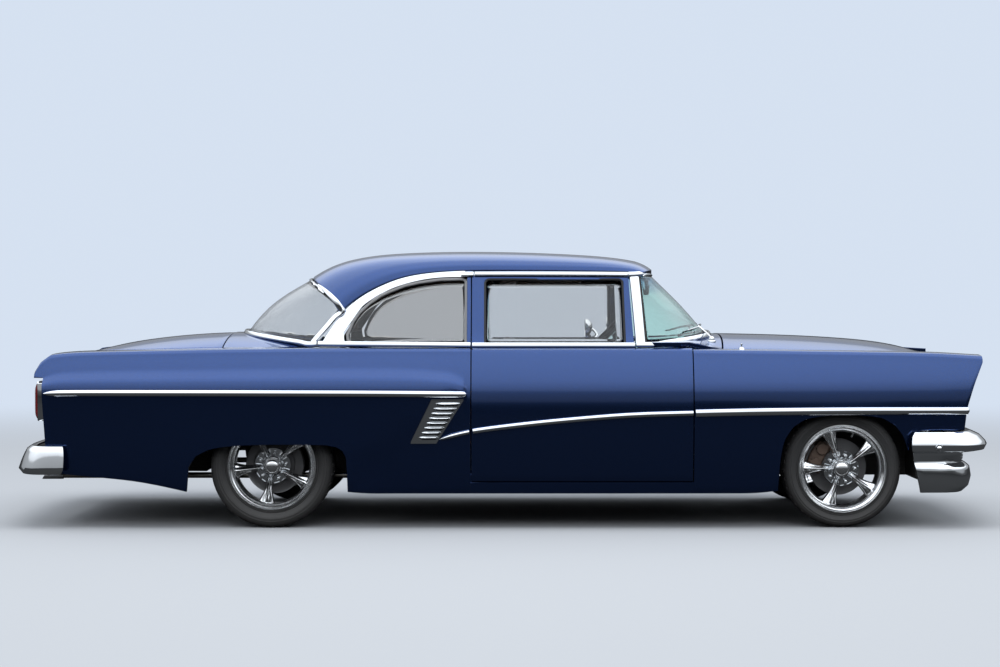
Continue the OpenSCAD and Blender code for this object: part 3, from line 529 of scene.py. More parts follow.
# Side mouldings. Stainless spears pressed to a shallow ridge and clipped to the panels: a long one under
# the pontoon, and a rising one from the louvres over door and fender to the headlamp.
HANDS = ((-1, "right"), (1, "left"))
for side, hand in HANDS:
    quarter, fender, door = (skin_of(name + hand) for name in ("quarter_", "fender_", "door_"))
    upper = [on_side(quarter, p.x, p.z, side) for p in smooth_line(
        [(-2.428, 0, 0.713), (-2.20, 0, 0.7165), (-1.60, 0, 0.7175), (-0.90, 0, 0.716), (-0.50, 0, 0.714),
         (-0.196, 0, 0.711)], 60)]
    trim_piece("pontoon_spear_" + hand, "body",
               [moulding([seat for seat in upper if seat], 0.036, 0.017, 0.10, 0.012)])
    rise = [(-0.340, 0, 0.474), (-0.173, 0, 0.515), (0.146, 0, 0.556), (0.487, 0, 0.588), (0.715, 0, 0.603),
            (0.994, 0, 0.611), (1.40, 0, 0.619), (1.90, 0, 0.6225), (2.47, 0, 0.6205)]
    line = smooth_line(rise, 200)
    for name, skins, x0, x1, body in (("louvre", quarter, -0.345, -0.1775, "body"),
                                      ("door", door, -0.1705, 0.9955, "door_" + hand),
                                      ("fender", fender, 1.0025, 2.441, "body")):
        seats = [seat for seat in (on_side(skins, p.x, p.z, side) for p in line if x0 <= p.x <= x1) if seat]
        if name == "fender":
            (before, _), (tip, lean) = seats[-2:]
            seats += [(tip + (tip - before).normalized() * past, lean) for past in (0.012, 0.024, 0.034)]
        trim_piece(name + "_spear_" + hand, body, [moulding(
            seats, {"louvre": 0.027, "door": 0.031, "fender": 0.042}[name], 0.016,
            0.5 if name == "louvre" else 0.0,
            0.012 if name == "fender" else 0.0)])

# Louvre plates. One chromed die casting a side, where the rising spear starts: a flat frame with eight slats
# that stand out like small shelves. Under each slat a black strip lies on the plate as the painted shade of its
# slot.
for side, hand in HANDS:
    quarter = skin_of("quarter_" + hand)
    bm = bmesh.new()
    grid = bmesh.ops.create_grid(bm, x_segments=8, y_segments=16, size=0.5)["verts"]
    for vert in grid:
        u, v = vert.co.x + 0.5, vert.co.y + 0.5
        x = (-0.490 + 0.134 * u) * (1 - v) + (-0.380 + 0.165 * u) * v
        seat = on_side(quarter, x, 0.462 + 0.226 * v, side)
        vert.co = seat[0] + seat[1] * 0.006
    bmesh.ops.solidify(bm, geom=bm.faces, thickness=-0.009 * side)
    bmesh.ops.recalc_face_normals(bm, faces=bm.faces)
    plate = piece_of(bm, "louvre_plate_" + hand, "body", chrome)
    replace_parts(plate, "louvres")
    strips, painted_slot_shades = [], []
    for k in range(8):
        z = 0.488 + 0.0255 * k
        v = (z - 0.462) / 0.226
        x0 = -0.490 + 0.110 * v + 0.034
        x1 = -0.356 + 0.141 * v - 0.006
        seats = [on_side(quarter, x0 + (x1 - x0) * t / 8, z, side) for t in range(9)]
        strips.append(moulding([(p + n * 0.010, n) for p, n in seats], 0.010, 0.013, 0.25, 0.12,
                               ((-0.5, -0.6), (-0.5, 0.2), (-0.3, 0.75), (0.1, 1.0), (0.5, 0.55), (0.5, -0.6))))
        # A black strip under each slat is the painted shade of its slot.
        low = [on_side(quarter, x0 + 0.004 + (x1 - x0 - 0.008) * t / 8, z - 0.0105, side) for t in range(9)]
        painted_slot_shades.append(moulding([(p + n * 0.007, n) for p, n in low], 0.010, 0.002, 0.1, 0.1))
    trim_piece("louvre_slats_" + hand, "body", strips)
    trim_piece("louvre_painted_shade_" + hand, "body", painted_slot_shades, black_and_painted_shade)

# Window mouldings. Rolled stainless strips: belt lines under the side glass, drip mouldings over the doors,
# covers on the windshield posts, and the frames of windshield and rear glass, each on a black rubber gasket.


def eased(t):
    """A blend that starts and ends level."""
    t = min(1.0, max(0.0, t))
    return t * t * (3 - 2 * t)


BELT_Y, BELT_Z, TUMBLE_HOME = 0.800, 0.953, 0.345


def glass_y(x, z):
    """Half width of the side glass, which leans in upwards and narrows a little to both ends."""
    narrowing = 0.070 * eased((-0.5 - x) / 0.9) + 0.012 * eased((x - 0.4) / 0.4)
    return BELT_Y - narrowing - TUMBLE_HOME * (z - BELT_Z)


def roof_edge(rail, centre, a):
    """Point of the roof's front or rear edge at an angle round the roof, 90 degrees on the centre line."""
    c, s = abs(math.cos(a)), abs(math.sin(a))
    return Vector((rail[0] + (centre[0] - rail[0]) * s ** 1.2,
                   math.copysign(glass_y(*rail) * c ** 0.8, math.cos(a)),
                   rail[1] + (centre[1] - rail[1]) * s ** 0.8))


def lifted(seats, height):
    """The same seats, raised off the surface."""
    return [(point + normal * height, normal) for point, normal in seats]


FLAT = ((-0.5, -0.4), (-0.5, 0.5), (-0.44, 0.85), (-0.3, 1.0), (0.3, 1.0), (0.44, 0.85), (0.5, 0.5), (0.5, -0.4))
gasket_black = finish_of("gasket_rubber", (0.012, 0.012, 0.012), roughness=0.6, grain=0.002, bump=0.0001)
trim_grey = finish_of("trim_grey", (0.16, 0.16, 0.165), roughness=0.5, grain=0.003, bump=0.0001)
for side, hand in HANDS:
    belt_lean = Vector((0, side, 0.30)).normalized()
    wall_lean = Vector((0, side, TUMBLE_HOME)).normalized()

    def on_wall(points, out=0.0):
        return [(Vector((x, side * (glass_y(x, z) + out), z)), wall_lean) for x, z in points]

    belt = [(Vector((x, side * 0.8055, 0.967)), belt_lean) for x in (-0.1685, 0.0, 0.2, 0.4, 0.6, 0.6955)]
    trim_piece("door_belt_" + hand, "door_" + hand, [moulding(belt, 0.027, 0.011, section=FLAT)])
    rear_belt = [(Vector((x, side * (glass_y(x, 0.967) + 0.0095), z)), belt_lean)
                 for x, z in ((-0.1785, 0.968), (-0.4, 0.970), (-0.7, 0.972), (-0.86, 0.973), (-0.99, 0.974))]
    trim_piece("quarter_belt_" + hand, "body", [moulding(rear_belt, 0.027, 0.011, section=FLAT)])
    drip = on_wall([(-0.157, 1.3455), (0.05, 1.3460), (0.3, 1.3455), (0.5, 1.3445), (0.665, 1.3430)], 0.006)
    cap_line = on_wall([(0.668, 1.3430), (0.700, 1.3440), (0.730, 1.3460), (0.755, 1.3470)], 0.008)
    band_end = on_wall([(-0.230, 1.3440), (-0.198, 1.3445), (-0.163, 1.3448)], 0.004)
    trim_piece("roof_drip_" + hand, "body", [moulding(drip, 0.024, 0.013, section=FLAT),
                                             moulding(band_end, 0.027, 0.012, section=FLAT),
                                             moulding(cap_line, 0.026, 0.015, 0.0, 0.3, section=FLAT)])
    post = on_wall([(0.7275, 0.976), (0.7225, 1.05), (0.7140, 1.17), (0.7050, 1.28), (0.6995, 1.337)], 0.002)
    trim_piece("post_cover_" + hand, "body", [moulding(post, 0.051, 0.011, section=FLAT)])
    trim_piece("windshield_seal_" + hand, "body", [moulding(
        [(p + Vector((0.028, -side * 0.002, 0)), n) for p, n in post], 0.012, 0.009, section=FLAT)], gasket_black)
    opening = []
    for x, z, first in ((-0.101, 0.964, 180), (0.6445, 0.964, 270), (0.6365, 1.3165, 0), (-0.101, 1.3165, 90)):
        inward = Vector((0.022 if x < 0 else -0.022, 0.022 if z < 1.1 else -0.022))
        for k in range(5):
            a = math.radians(first + 22.5 * k)
            opening.append((x + inward.x + 0.022 * math.cos(a), z + inward.y + 0.022 * math.sin(a)))
    trim_piece("door_glass_seal_" + hand, "door_" + hand,
               [moulding(on_wall(opening + opening[:1], -0.006), 0.012, 0.008, section=FLAT)], gasket_black)
    arch = [(-0.210, 0.966), (-0.50, 0.967), (-0.795, 0.971), (-0.833, 0.990), (-0.836, 1.020), (-0.806, 1.090),
            (-0.774, 1.136), (-0.722, 1.186), (-0.66, 1.229), (-0.612, 1.251), (-0.53, 1.283), (-0.452, 1.300),
            (-0.344, 1.315), (-0.22, 1.318), (-0.204, 1.306), (-0.203, 1.14), (-0.203, 0.98), (-0.210, 0.966)]
    trim_piece("quarter_glass_seal_" + hand, "body",
               [moulding(on_wall(arch, -0.010), 0.016, 0.007, section=FLAT)], trim_grey)

graph = bpy.context.evaluated_depsgraph_get()
front_pane, rear_pane = (BVHTree.FromObject(bpy.data.objects[name + "_pane"], graph)
                         for name in ("windshield", "rear_glass"))
front_rail, front_centre = (0.740, 1.352), (0.830, 1.375)
rear_rail, rear_centre = (-0.863, 1.148), (-1.075, 1.342)


def foot_line(corner, v_end, base):
    """Seats of a glass foot moulding, from the left belt round the base to the right belt."""
    half = list(corner)
    for k in range(25):
        v = v_end * (1 - k / 24)
        (x, y, z), (x1, y1, _) = base(v), base(v + 0.01)
        out = Vector((y1 - y, x - x1, 0)).normalized()
        out = out if out.y > 0 or abs(out.x) > 0.9 else -out
        out = Vector((math.copysign(out.x, x), abs(out.y), 0))
        half.append((Vector((x, y, z)) + out * 0.010, (out + Vector((0, 0, 0.55))).normalized()))
    mirror_y = Vector((1, -1, 1))
    return half + [(point * mirror_y, normal * mirror_y) for point, normal in reversed(half[:-1])]


side_lean = Vector((0, 1, 0.3)).normalized()
front_corner = ((0.703, 0.8055, 0.969), (0.745, 0.8045, 0.969), (0.785, 0.798, 0.9695), (0.820, 0.784, 0.9705))
rear_corner = ((-0.996, 0.770, 0.973), (-1.020, 0.764, 0.9715), (-1.050, 0.752, 0.971))
foot_front = foot_line(
    [(Vector(point), side_lean) for point in front_corner], 0.915,
    lambda v: (1.142 - 0.377 * abs(v) ** 3.2, v * 0.757, 1.0225 - 0.045 * min(1, abs(v) / 0.92) ** 2.2))
foot_rear = foot_line(
    [(Vector(point), side_lean) for point in rear_corner], 0.945,
    lambda v: (-1.446 + 0.421 * abs(v) ** 2.6, v * 0.9866 * (0.743 - 0.099 * min(
        1, max(0, (0.416 - 0.421 * abs(v) ** 2.6) / 0.490))), 1.0295 - 0.0575 * abs(v) ** 2.2))
over_front = [near([front_pane], roof_edge(front_rail, front_centre, math.radians(a)) + Vector((0.012, 0, -0.012)))
              for a in range(8, 173, 4)]
over_rear = [near([rear_pane], roof_edge(rear_rail, rear_centre, math.radians(a)) + Vector((-0.012, 0, -0.012)))
             for a in range(30, 151, 4)]
trim_piece("windshield_foot", "body", [moulding(foot_front, 0.026, 0.011, section=FLAT)])
trim_piece("windshield_head", "body", [moulding(lifted(over_front, 0.002), 0.014, 0.007, section=FLAT)])
trim_piece("rear_glass_foot", "body", [moulding(foot_rear, 0.026, 0.011, section=FLAT)])
trim_piece("rear_glass_head", "body", [moulding(lifted(over_rear, 0.002), 0.016, 0.007, section=FLAT)])
for side, hand in HANDS:
    upper = [roof_edge(rear_rail, rear_centre, math.radians(a)) for a in (46, 38, 30, 22, 14, 7, 0)]
    upper = [Vector((p.x - 0.004, side * (p.y + 0.004), p.z - 0.006)) for p in upper]
    lower = [Vector((x, side * y, z)) for x, y, z in ((-0.905, 0.706, 1.112), (-0.950, 0.721, 1.058),
                                                     (-1.000, 0.735, 1.000), (-1.018, 0.738, 0.978))]
    corner = smooth_line(upper + lower, 40)
    trim_piece("rear_glass_side_" + hand, "body", [moulding(
        [(p, Vector((-0.62, side * 0.70, 0.35)).normalized()) for p in corner], 0.036, 0.012, tip_in=0.5,
        section=FLAT)])

# Tyres. Low-profile radials in black rubber, moulded with a rim guard, fine rings on the sidewall,
# four water grooves and cut shoulder blocks.


def turned(bm, profile, steps=96):
    """Turns a profile of (radius, height along the axle) all the way round, and gives its vertices.
    A profile that starts or ends on the axle stays open there."""
    before = set(bm.verts)
    closed = 0 not in (profile[0][0], profile[-1][0])
    verts = [bm.verts.new((r, 0, h)) for r, h in profile]
    edges = [bm.edges.new((verts[k - 1], verts[k])) for k in range(0 if closed else 1, len(verts))]
    bmesh.ops.spin(bm, geom=verts + edges, cent=(0, 0, 0), axis=(0, 0, 1), angle=2 * math.pi, steps=steps,
                   use_merge=True)
    bmesh.ops.remove_doubles(bm, verts=[v for v in bm.verts if v not in before], dist=1e-5)
    return [v for v in bm.verts if v not in before]


rubber = finish_of("tyre_rubber", (0.030, 0.030, 0.031), roughness=0.68, grain=0.003, bump=0.0002, dusty=0.10)
HALF_TRACK, RIM_R, TYRE_STEPS = 0.745, 0.236, 120
FRONT_AXLE_X, FRONT_TYRE_R = 1.793, 0.312
REAR_AXLE_X, REAR_TYRE_R = -1.230, 0.325
CORNERS = (("front_left", FRONT_AXLE_X, FRONT_TYRE_R, 0.215, 1, 180),
           ("front_right", FRONT_AXLE_X, FRONT_TYRE_R, 0.215, -1, 180),
           ("rear_left", REAR_AXLE_X, REAR_TYRE_R, 0.245, 1, 188),
           ("rear_right", REAR_AXLE_X, REAR_TYRE_R, 0.245, -1, 188))


def on_axle(x, radius, side):
    """Where a wheel that is drawn face up stands on the car."""
    return Matrix.Translation((x, side * HALF_TRACK, radius)) @ Matrix.Rotation(-side * math.pi / 2, 4, "X")


for corner, x, radius, width, side, turn in CORNERS:
    h = width / 2
    wall = radius - RIM_R
    tread = h - 0.033
    half = [(0.2166, 0.060), (0.2166, 0.083), (0.2265, 0.0955), (RIM_R + 0.0015, 0.1000), (0.2405, 0.1045),
            (0.2445, 0.1045), (0.2470, 0.1015)]
    for share, sink in ((0.34, 0.003), (0.42, 0.0005), (0.45, 0.0), (0.46, -0.0012), (0.49, -0.0012), (0.50, 0.0),
                        (0.60, 0.001), (0.61, 0.0), (0.63, 0.0), (0.64, 0.0018), (0.74, 0.005), (0.83, 0.0095)):
        half.append((RIM_R + wall * share, h - sink))
    half += [(radius - 0.009, h - 0.0175), (radius - 0.0035, h - 0.024), (radius - 0.0015, h - 0.033)]
    for groove in (0.62 * tread, 0.2 * tread):
        half += [(radius - 0.0005, groove + 0.0055), (radius - 0.0075, groove + 0.0035),
                 (radius - 0.0075, groove - 0.0035), (radius - 0.0003, groove - 0.0055)]
    lining = [(radius - 0.016, h - 0.036), (RIM_R + wall * 0.5, h - 0.014), (RIM_R, 0.084), (0.222, 0.060)]
    profile = half + [(r, -z) for r, z in reversed(half)] + [(r, -z) for r, z in reversed(lining)] + lining
    bm = bmesh.new()
    turned(bm, profile, TYRE_STEPS)
    bmesh.ops.recalc_face_normals(bm, faces=bm.faces)
    blocks = []
    for face in bm.faces:
        middle = face.calc_center_median()
        reach = math.hypot(middle.x, middle.y)
        on_shoulder = radius - 0.0085 < reach < radius - 0.0008 and h - 0.036 < abs(middle.z) < h - 0.015
        on_edge = reach > radius - 0.002 and abs(middle.z) > 0.62 * tread
        place_round = int((math.atan2(middle.y, middle.x) / (2 * math.pi) + 1) * TYRE_STEPS)
        if (on_shoulder or on_edge) and place_round % 3 == 0:
            blocks.append(face)
    bmesh.ops.inset_individual(bm, faces=blocks, thickness=0.0018, depth=-0.004)
    bmesh.ops.transform(bm, matrix=on_axle(x, radius, side), verts=bm.verts)
    tyre = soft_shaded(piece_of(bm, "tyre_" + corner + "_moulded", "wheel_" + corner, rubber), 35)
    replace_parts(tyre, "tyre_" + corner)

# Rims. Forged aluminium polished by hand: a stepped lip, five spokes that rise to a ridge and flare into
# the rim, bright lug pads with a chromed nut in each, and a domed centre cap.


def soft_piece(bm, name, body, material, angle=40, place=None):
    """A closed piece: normals put right, set in its place on the car, and shaded."""
    bmesh.ops.recalc_face_normals(bm, faces=bm.faces)
    if place:
        bmesh.ops.transform(bm, matrix=place, verts=bm.verts)
    return soft_shaded(piece_of(bm, name, body, material), angle)


def tipped(bm, verts, degrees, axis):
    """Turns part of a drawing about one of its axes."""
    bmesh.ops.rotate(bm, verts=verts, cent=(0, 0, 0), matrix=Matrix.Rotation(math.radians(degrees), 3, axis))


def repeated(bm, count):
    """Copies all that is drawn evenly round the axle, count times in all."""
    bmesh.ops.spin(bm, geom=bm.verts[:] + bm.edges[:] + bm.faces[:], cent=(0, 0, 0), axis=(0, 0, 1),
                   angle=2 * math.pi * (1 - 1 / count), steps=count - 1, use_duplicate=True)


polish = finish_of("polished_aluminium", (0.90, 0.905, 0.91), patch=0.05, spread=0.05, roughness=0.17,
                   rough_spread=0.05, grain=0.006, bump=0.00003, Metallic=1.0)
barrel = [(0.2355, 0.1000), (0.2365, 0.1050), (0.2340, 0.1090), (0.2290, 0.1095), (0.2262, 0.1070),
          (0.2250, 0.1035), (0.2190, 0.0990), (0.2080, 0.0885), (0.1985, 0.0760), (0.1960, 0.0690),
          (0.1975, 0.0610), (0.2040, 0.0500), (0.2050, 0.0200), (0.2050, -0.0600), (0.2080, -0.0850),
          (0.2150, -0.0960), (0.2270, -0.1010), (0.2355, -0.1070), (0.2355, -0.1000), (0.2260, -0.0950),
          (0.2158, -0.0830), (0.2158, 0.0830), (0.2260, 0.0950)]
hub = [(0.0, 0.020), (0.086, 0.020), (0.090, 0.030), (0.088, 0.042), (0.052, 0.046), (0.046, 0.052), (0.0, 0.054)]
cap = [(0.0, 0.055), (0.044, 0.055), (0.045, 0.080), (0.0425, 0.086), (0.036, 0.0865), (0.035, 0.0895),
       (0.030, 0.094), (0.019, 0.0975), (0.008, 0.0990), (0.0, 0.0993)]
for corner, x, radius, width, side, turn in CORNERS:
    body = "wheel_" + corner
    place = on_axle(x, radius, side) @ Matrix.Rotation(math.radians(turn), 4, "Z")
    bm = bmesh.new()
    turned(bm, barrel, 128)
    turned(bm, hub, 80)
    turned(bm, cap, 64)
    valve = bmesh.ops.create_cone(bm, cap_ends=True, segments=10, radius1=0.0045, radius2=0.0035,
                                  depth=0.03)["verts"]
    tipped(bm, valve, 70, "Y")
    bmesh.ops.translate(bm, verts=valve, vec=(0.190, 0, 0.066))
    tipped(bm, valve, -108, "Z")
    shell = soft_piece(bm, "rim_" + corner + "_shell", body, polish, 40, place=place)
    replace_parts(shell, "rim_" + corner)
    bm = bmesh.new()
    for vert in bmesh.ops.create_grid(bm, x_segments=12, y_segments=10, size=1)["verts"]:
        t, u = (vert.co.x + 1) / 2, vert.co.y
        wide = 0.0125 + 0.010 * t + 0.026 * t ** 3.2
        r = 0.040 + 0.1690 * t - 0.004 * u * u * t
        top = 0.074 - 0.021 * t + 0.012 * t ** 4
        ridge = 0.0105 * math.exp(-(u / 0.22) ** 2) * (1 - 0.55 * t ** 3)
        groove = 0.004 * math.exp(-((abs(u) - 0.45) / 0.16) ** 2) * t
        vert.co = (r, u * wide, top + ridge - groove - 0.017 * abs(u) ** 2.4)
    bmesh.ops.solidify(bm, geom=bm.faces, thickness=0.020)
    bmesh.ops.recalc_face_normals(bm, faces=bm.faces)
    repeated(bm, 5)
    bmesh.ops.transform(bm, matrix=place, verts=bm.verts)
    round_off(piece_of(bm, "rim_" + corner + "_spokes", body, polish), levels=1)
    bm = bmesh.new()
    pad = bmesh.ops.create_grid(bm, x_segments=4, y_segments=6, size=1)["verts"]
    for vert in pad:
        r, a = 0.074 + 0.021 * vert.co.x, math.radians(23 * vert.co.y)
        vert.co = (r * math.cos(a), r * math.sin(a), 0.047)
    grown = bmesh.ops.extrude_face_region(bm, geom=bm.faces[:])["geom"]
    tops = [part for part in grown if isinstance(part, bmesh.types.BMFace)]
    bmesh.ops.translate(bm, verts=verts_in(grown), vec=(0, 0, 0.010))
    bmesh.ops.inset_region(bm, faces=tops, thickness=0.0035, depth=0)
    bmesh.ops.inset_region(bm, faces=tops, thickness=0.0015, depth=-0.006)
    nut = bmesh.ops.create_cone(bm, cap_ends=True, segments=6, radius1=0.0105, radius2=0.0100, depth=0.018)["verts"]
    bmesh.ops.translate(bm, verts=nut, vec=(0.072, 0, 0.061))
    crown = bmesh.ops.create_uvsphere(bm, u_segments=16, v_segments=8, radius=0.0090)["verts"]
    bmesh.ops.scale(bm, verts=crown, vec=(1, 1, 0.8))
    bmesh.ops.translate(bm, verts=crown, vec=(0.072, 0, 0.070))
    bmesh.ops.recalc_face_normals(bm, faces=bm.faces)
    tipped(bm, bm.verts, 36, "Z")
    repeated(bm, 5)
    bmesh.ops.transform(bm, matrix=place, verts=bm.verts)
    soft_shaded(piece_of(bm, "rim_" + corner + "_nuts", body, chrome), 35)

# Brakes. Front discs of grey cast iron, held by iron calipers that are bolted to the knuckles, and finned iron
# drums at the back. Both show through the spokes and turn with the wheels.
cast_iron = finish_of("cast_iron", (0.16, 0.16, 0.165), patch=0.06, spread=0.4, roughness=0.42, grain=0.004,
                      bump=0.0003, dusty=0.2, Metallic=0.7)
rust_brown = finish_of("caliper_brown", (0.125, 0.085, 0.065), patch=0.04, spread=0.5, roughness=0.6, grain=0.003,
                       bump=0.0005, dusty=0.2)


def turned_piece(name, body, material, profile, steps, place, angle=40):
    """A piece that is one turned profile."""
    bm = bmesh.new()
    turned(bm, profile, steps)
    return soft_piece(bm, name, body, material, angle, place)


disc = [(0.070, -0.086), (0.152, -0.086), (0.152, -0.077), (0.146, -0.075), (0.146, -0.070), (0.152, -0.068),
        (0.152, -0.058), (0.094, -0.058), (0.090, -0.046), (0.070, -0.044)]
drum = [(0.060, -0.092), (0.156, -0.092), (0.156, -0.084), (0.151, -0.082), (0.151, -0.076), (0.156, -0.074),
        (0.156, -0.066), (0.151, -0.064), (0.151, -0.058), (0.156, -0.056), (0.154, -0.040), (0.140, -0.037),
        (0.112, -0.037), (0.106, -0.032), (0.060, -0.032)]
for corner, x, radius, width, side, turn in CORNERS:
    turned_piece("brake_" + corner, "wheel_" + corner, cast_iron, disc if corner.startswith("front") else drum, 96,
                 on_axle(x, radius, side), angle=30)


def rounded(bm, edges, offset, segments):
    """Rounds some edges of a drawing."""
    bmesh.ops.bevel(bm, geom=edges, offset=offset, segments=segments, profile=0.5, affect="EDGES", material=-1)


for hand, side in (("left", 1), ("right", -1)):
    dress("knuckle_" + hand, cast_iron)
    bm = bmesh.new()
    bmesh.ops.create_cube(bm, size=1)
    bmesh.ops.scale(bm, verts=bm.verts, vec=(0.078, 0.165, 0.112))
    bmesh.ops.subdivide_edges(bm, edges=bm.edges[:], cuts=5, use_grid_fill=True)
    for vert in bm.verts:
        vert.co.x += 0.128 - 2.6 * vert.co.y ** 2
    rounded(bm, [e for e in bm.edges if e.calc_face_angle(0) > 1.0], 0.010, 3)
    for y in (-0.045, 0.045):
        piston = bmesh.ops.create_cone(bm, cap_ends=True, segments=24, radius1=0.032, radius2=0.029, depth=0.02)
        bmesh.ops.translate(bm, verts=piston["verts"], vec=(0.124, y, 0.062))
    bmesh.ops.transform(bm, matrix=on_axle(FRONT_AXLE_X, FRONT_TYRE_R, side) @ Matrix.Rotation(
        math.radians(180 + 28 * side), 4, "Z") @ Matrix.Translation((0, 0, -0.082)), verts=bm.verts)
    soft_shaded(piece_of(bm, "caliper_" + hand, "knuckle_" + hand, rust_brown), 40)

# Closing panels. Painted steel that closes the hollow fender and fin ends round the lamps, and the inner walls
# that stand beside hood and lid where those fall away.
for side, hand in HANDS:
    for end, panel, x, inner, low, high in (("headlamp", "fender_", 2.418, 0.780, 0.545, 0.885),
                                            ("tail_lamp", "quarter_", -2.412, 0.655, 0.470, 0.885)):
        skins = skin_of(panel + hand)
        bm = bmesh.new()
        for vert in bmesh.ops.create_grid(bm, x_segments=4, y_segments=24, size=0.5)["verts"]:
            z = low + (high - low) * (vert.co.y + 0.5)
            seat = on_side(skins, x, z, side)
            edge = abs(seat[0].y) - 0.012 if seat else 0.80
            vert.co = (x, side * (inner + (edge - inner) * (vert.co.x + 0.5)), z)
        bmesh.ops.recalc_face_normals(bm, faces=bm.faces)
        bmesh.ops.solidify(bm, geom=bm.faces, thickness=0.008)
        soft_piece(bm, end + "_surround_" + hand, "body", blue_lacquer)
    hood_line = ((2.00, 0.716, 0.925), (2.30, 0.703, 0.920), (2.53, 0.693, 0.905))
    lid_line = ((-2.47, 0.6505, 0.862), (-2.43, 0.6505, 0.895), (-2.349, 0.6505, 0.915), (-2.02, 0.6505, 0.930))
    for end, x0, x1, low, line in (("hood_side", 2.00, 2.412, 0.770, hood_line),
                                   ("lid_side", -2.406, -2.02, 0.560, lid_line)):
        bm = bmesh.new()
        for vert in bmesh.ops.create_grid(bm, x_segments=12, y_segments=6, size=0.5)["verts"]:
            x = x0 + (x1 - x0) * (vert.co.x + 0.5)
            k = max(0, min(len(line) - 2, sum(1 for p in line[1:] if p[0] < x)))
            a, b = line[k], line[k + 1]
            share = (x - a[0]) / (b[0] - a[0])
            top = a[2] + (b[2] - a[2]) * share
            vert.co = (x, side * (a[1] + (b[1] - a[1]) * share), low + (top - low) * (vert.co.y + 0.5))
        bmesh.ops.recalc_face_normals(bm, faces=bm.faces)
        bmesh.ops.solidify(bm, geom=bm.faces, thickness=0.003)
        soft_piece(bm, end + "_wall_" + hand, "body", blue_lacquer)

# Headlamps. Glass lenses, fluted on the inside, over silvered bowls with a bulb. A chromed ring with a stepped
# lip holds each one to its surround.
lens_glass = pane_of("lens_glass", (0.93, 0.95, 0.96))
ring = [(0.0895, 0.000), (0.1130, 0.000), (0.1145, 0.005), (0.1120, 0.012), (0.1050, 0.0175), (0.0985, 0.0190),
        (0.0940, 0.0165), (0.0915, 0.0105), (0.0895, 0.0090)]
bowl = [(0.0890, 0.0040), (0.0890, -0.0060), (0.0750, -0.0160), (0.0500, -0.0235), (0.0250, -0.0270),
        (0.0, -0.0280)]
for side, hand in HANDS:
    place = Matrix.Translation((2.4323, side * 0.690, 0.730)) @ Matrix.Rotation(math.pi / 2, 4, "Y")
    rim = turned_piece("headlamp_ring_" + hand, "body", chrome, ring, 96, place, angle=45)
    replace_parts(rim, "headlamps")
    bm = bmesh.new()
    turned(bm, bowl, 72)
    bmesh.ops.solidify(bm, geom=bm.faces, thickness=0.0015)
    bulb = bmesh.ops.create_uvsphere(bm, u_segments=20, v_segments=12, radius=0.011)["verts"]
    bmesh.ops.translate(bm, verts=bulb, vec=(0, 0, -0.014))
    soft_piece(bm, "headlamp_bowl_" + hand, "body", chrome, place=place)
    bm = bmesh.new()
    turned(bm, [(0.0905 * math.sin(a), 0.006 + 0.0225 * math.cos(a)) for a in
                (math.pi / 2 * k / 14 for k in range(15))] + [(0.0905, 0.001)], 96)
    for vert in bm.verts:
        flute = 0.0005 * math.cos(vert.co.y * 2 * math.pi / 0.0145)
        vert.co.z += flute * max(0, 1 - (vert.co.xy.length / 0.088) ** 6)
    bmesh.ops.recalc_face_normals(bm, faces=bm.faces)
    bmesh.ops.solidify(bm, geom=bm.faces, thickness=0.003)
    soft_piece(bm, "headlamp_lens_" + hand, "body", lens_glass, 60, place=place)

# Grille. Die-cast and chromed: upright blades between a heavy middle bar and two rails, edges broken by
# polishing, bolted to the front panel.
bm = smoothed_copy("grille")
grille = piece_of(bm, "grille_bars", "body", chrome)
broken = grille.modifiers.new("broken_edges", "BEVEL")
broken.width, broken.segments, broken.limit_method, broken.angle_limit = 0.0035, 2, "ANGLE", math.radians(40)
soft_shaded(grille, 50)
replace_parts(grille, "grille")

# Tail lamps. Tall red lenses of clear plastic with moulded ribs, set in chromed bezels that are screwed to the
# surrounds under the overhang of the fins.
red_lens = pane_of("red_lens", (0.22, 0.008, 0.010))
red_shader = red_lens.node_tree.nodes["Principled BSDF"]
red_shader.inputs["Transmission Weight"].default_value = 0.35
red_shader.inputs["Roughness"].default_value = 0.06
TAIL_LAMP_Y, TAIL_LAMP_Z = 0.755, 0.669


def edges_along(bm, axis, length):
    """Edges that reach further than a length along an axis."""
    return [e for e in bm.edges if abs(e.verts[0].co[axis] - e.verts[1].co[axis]) > length]


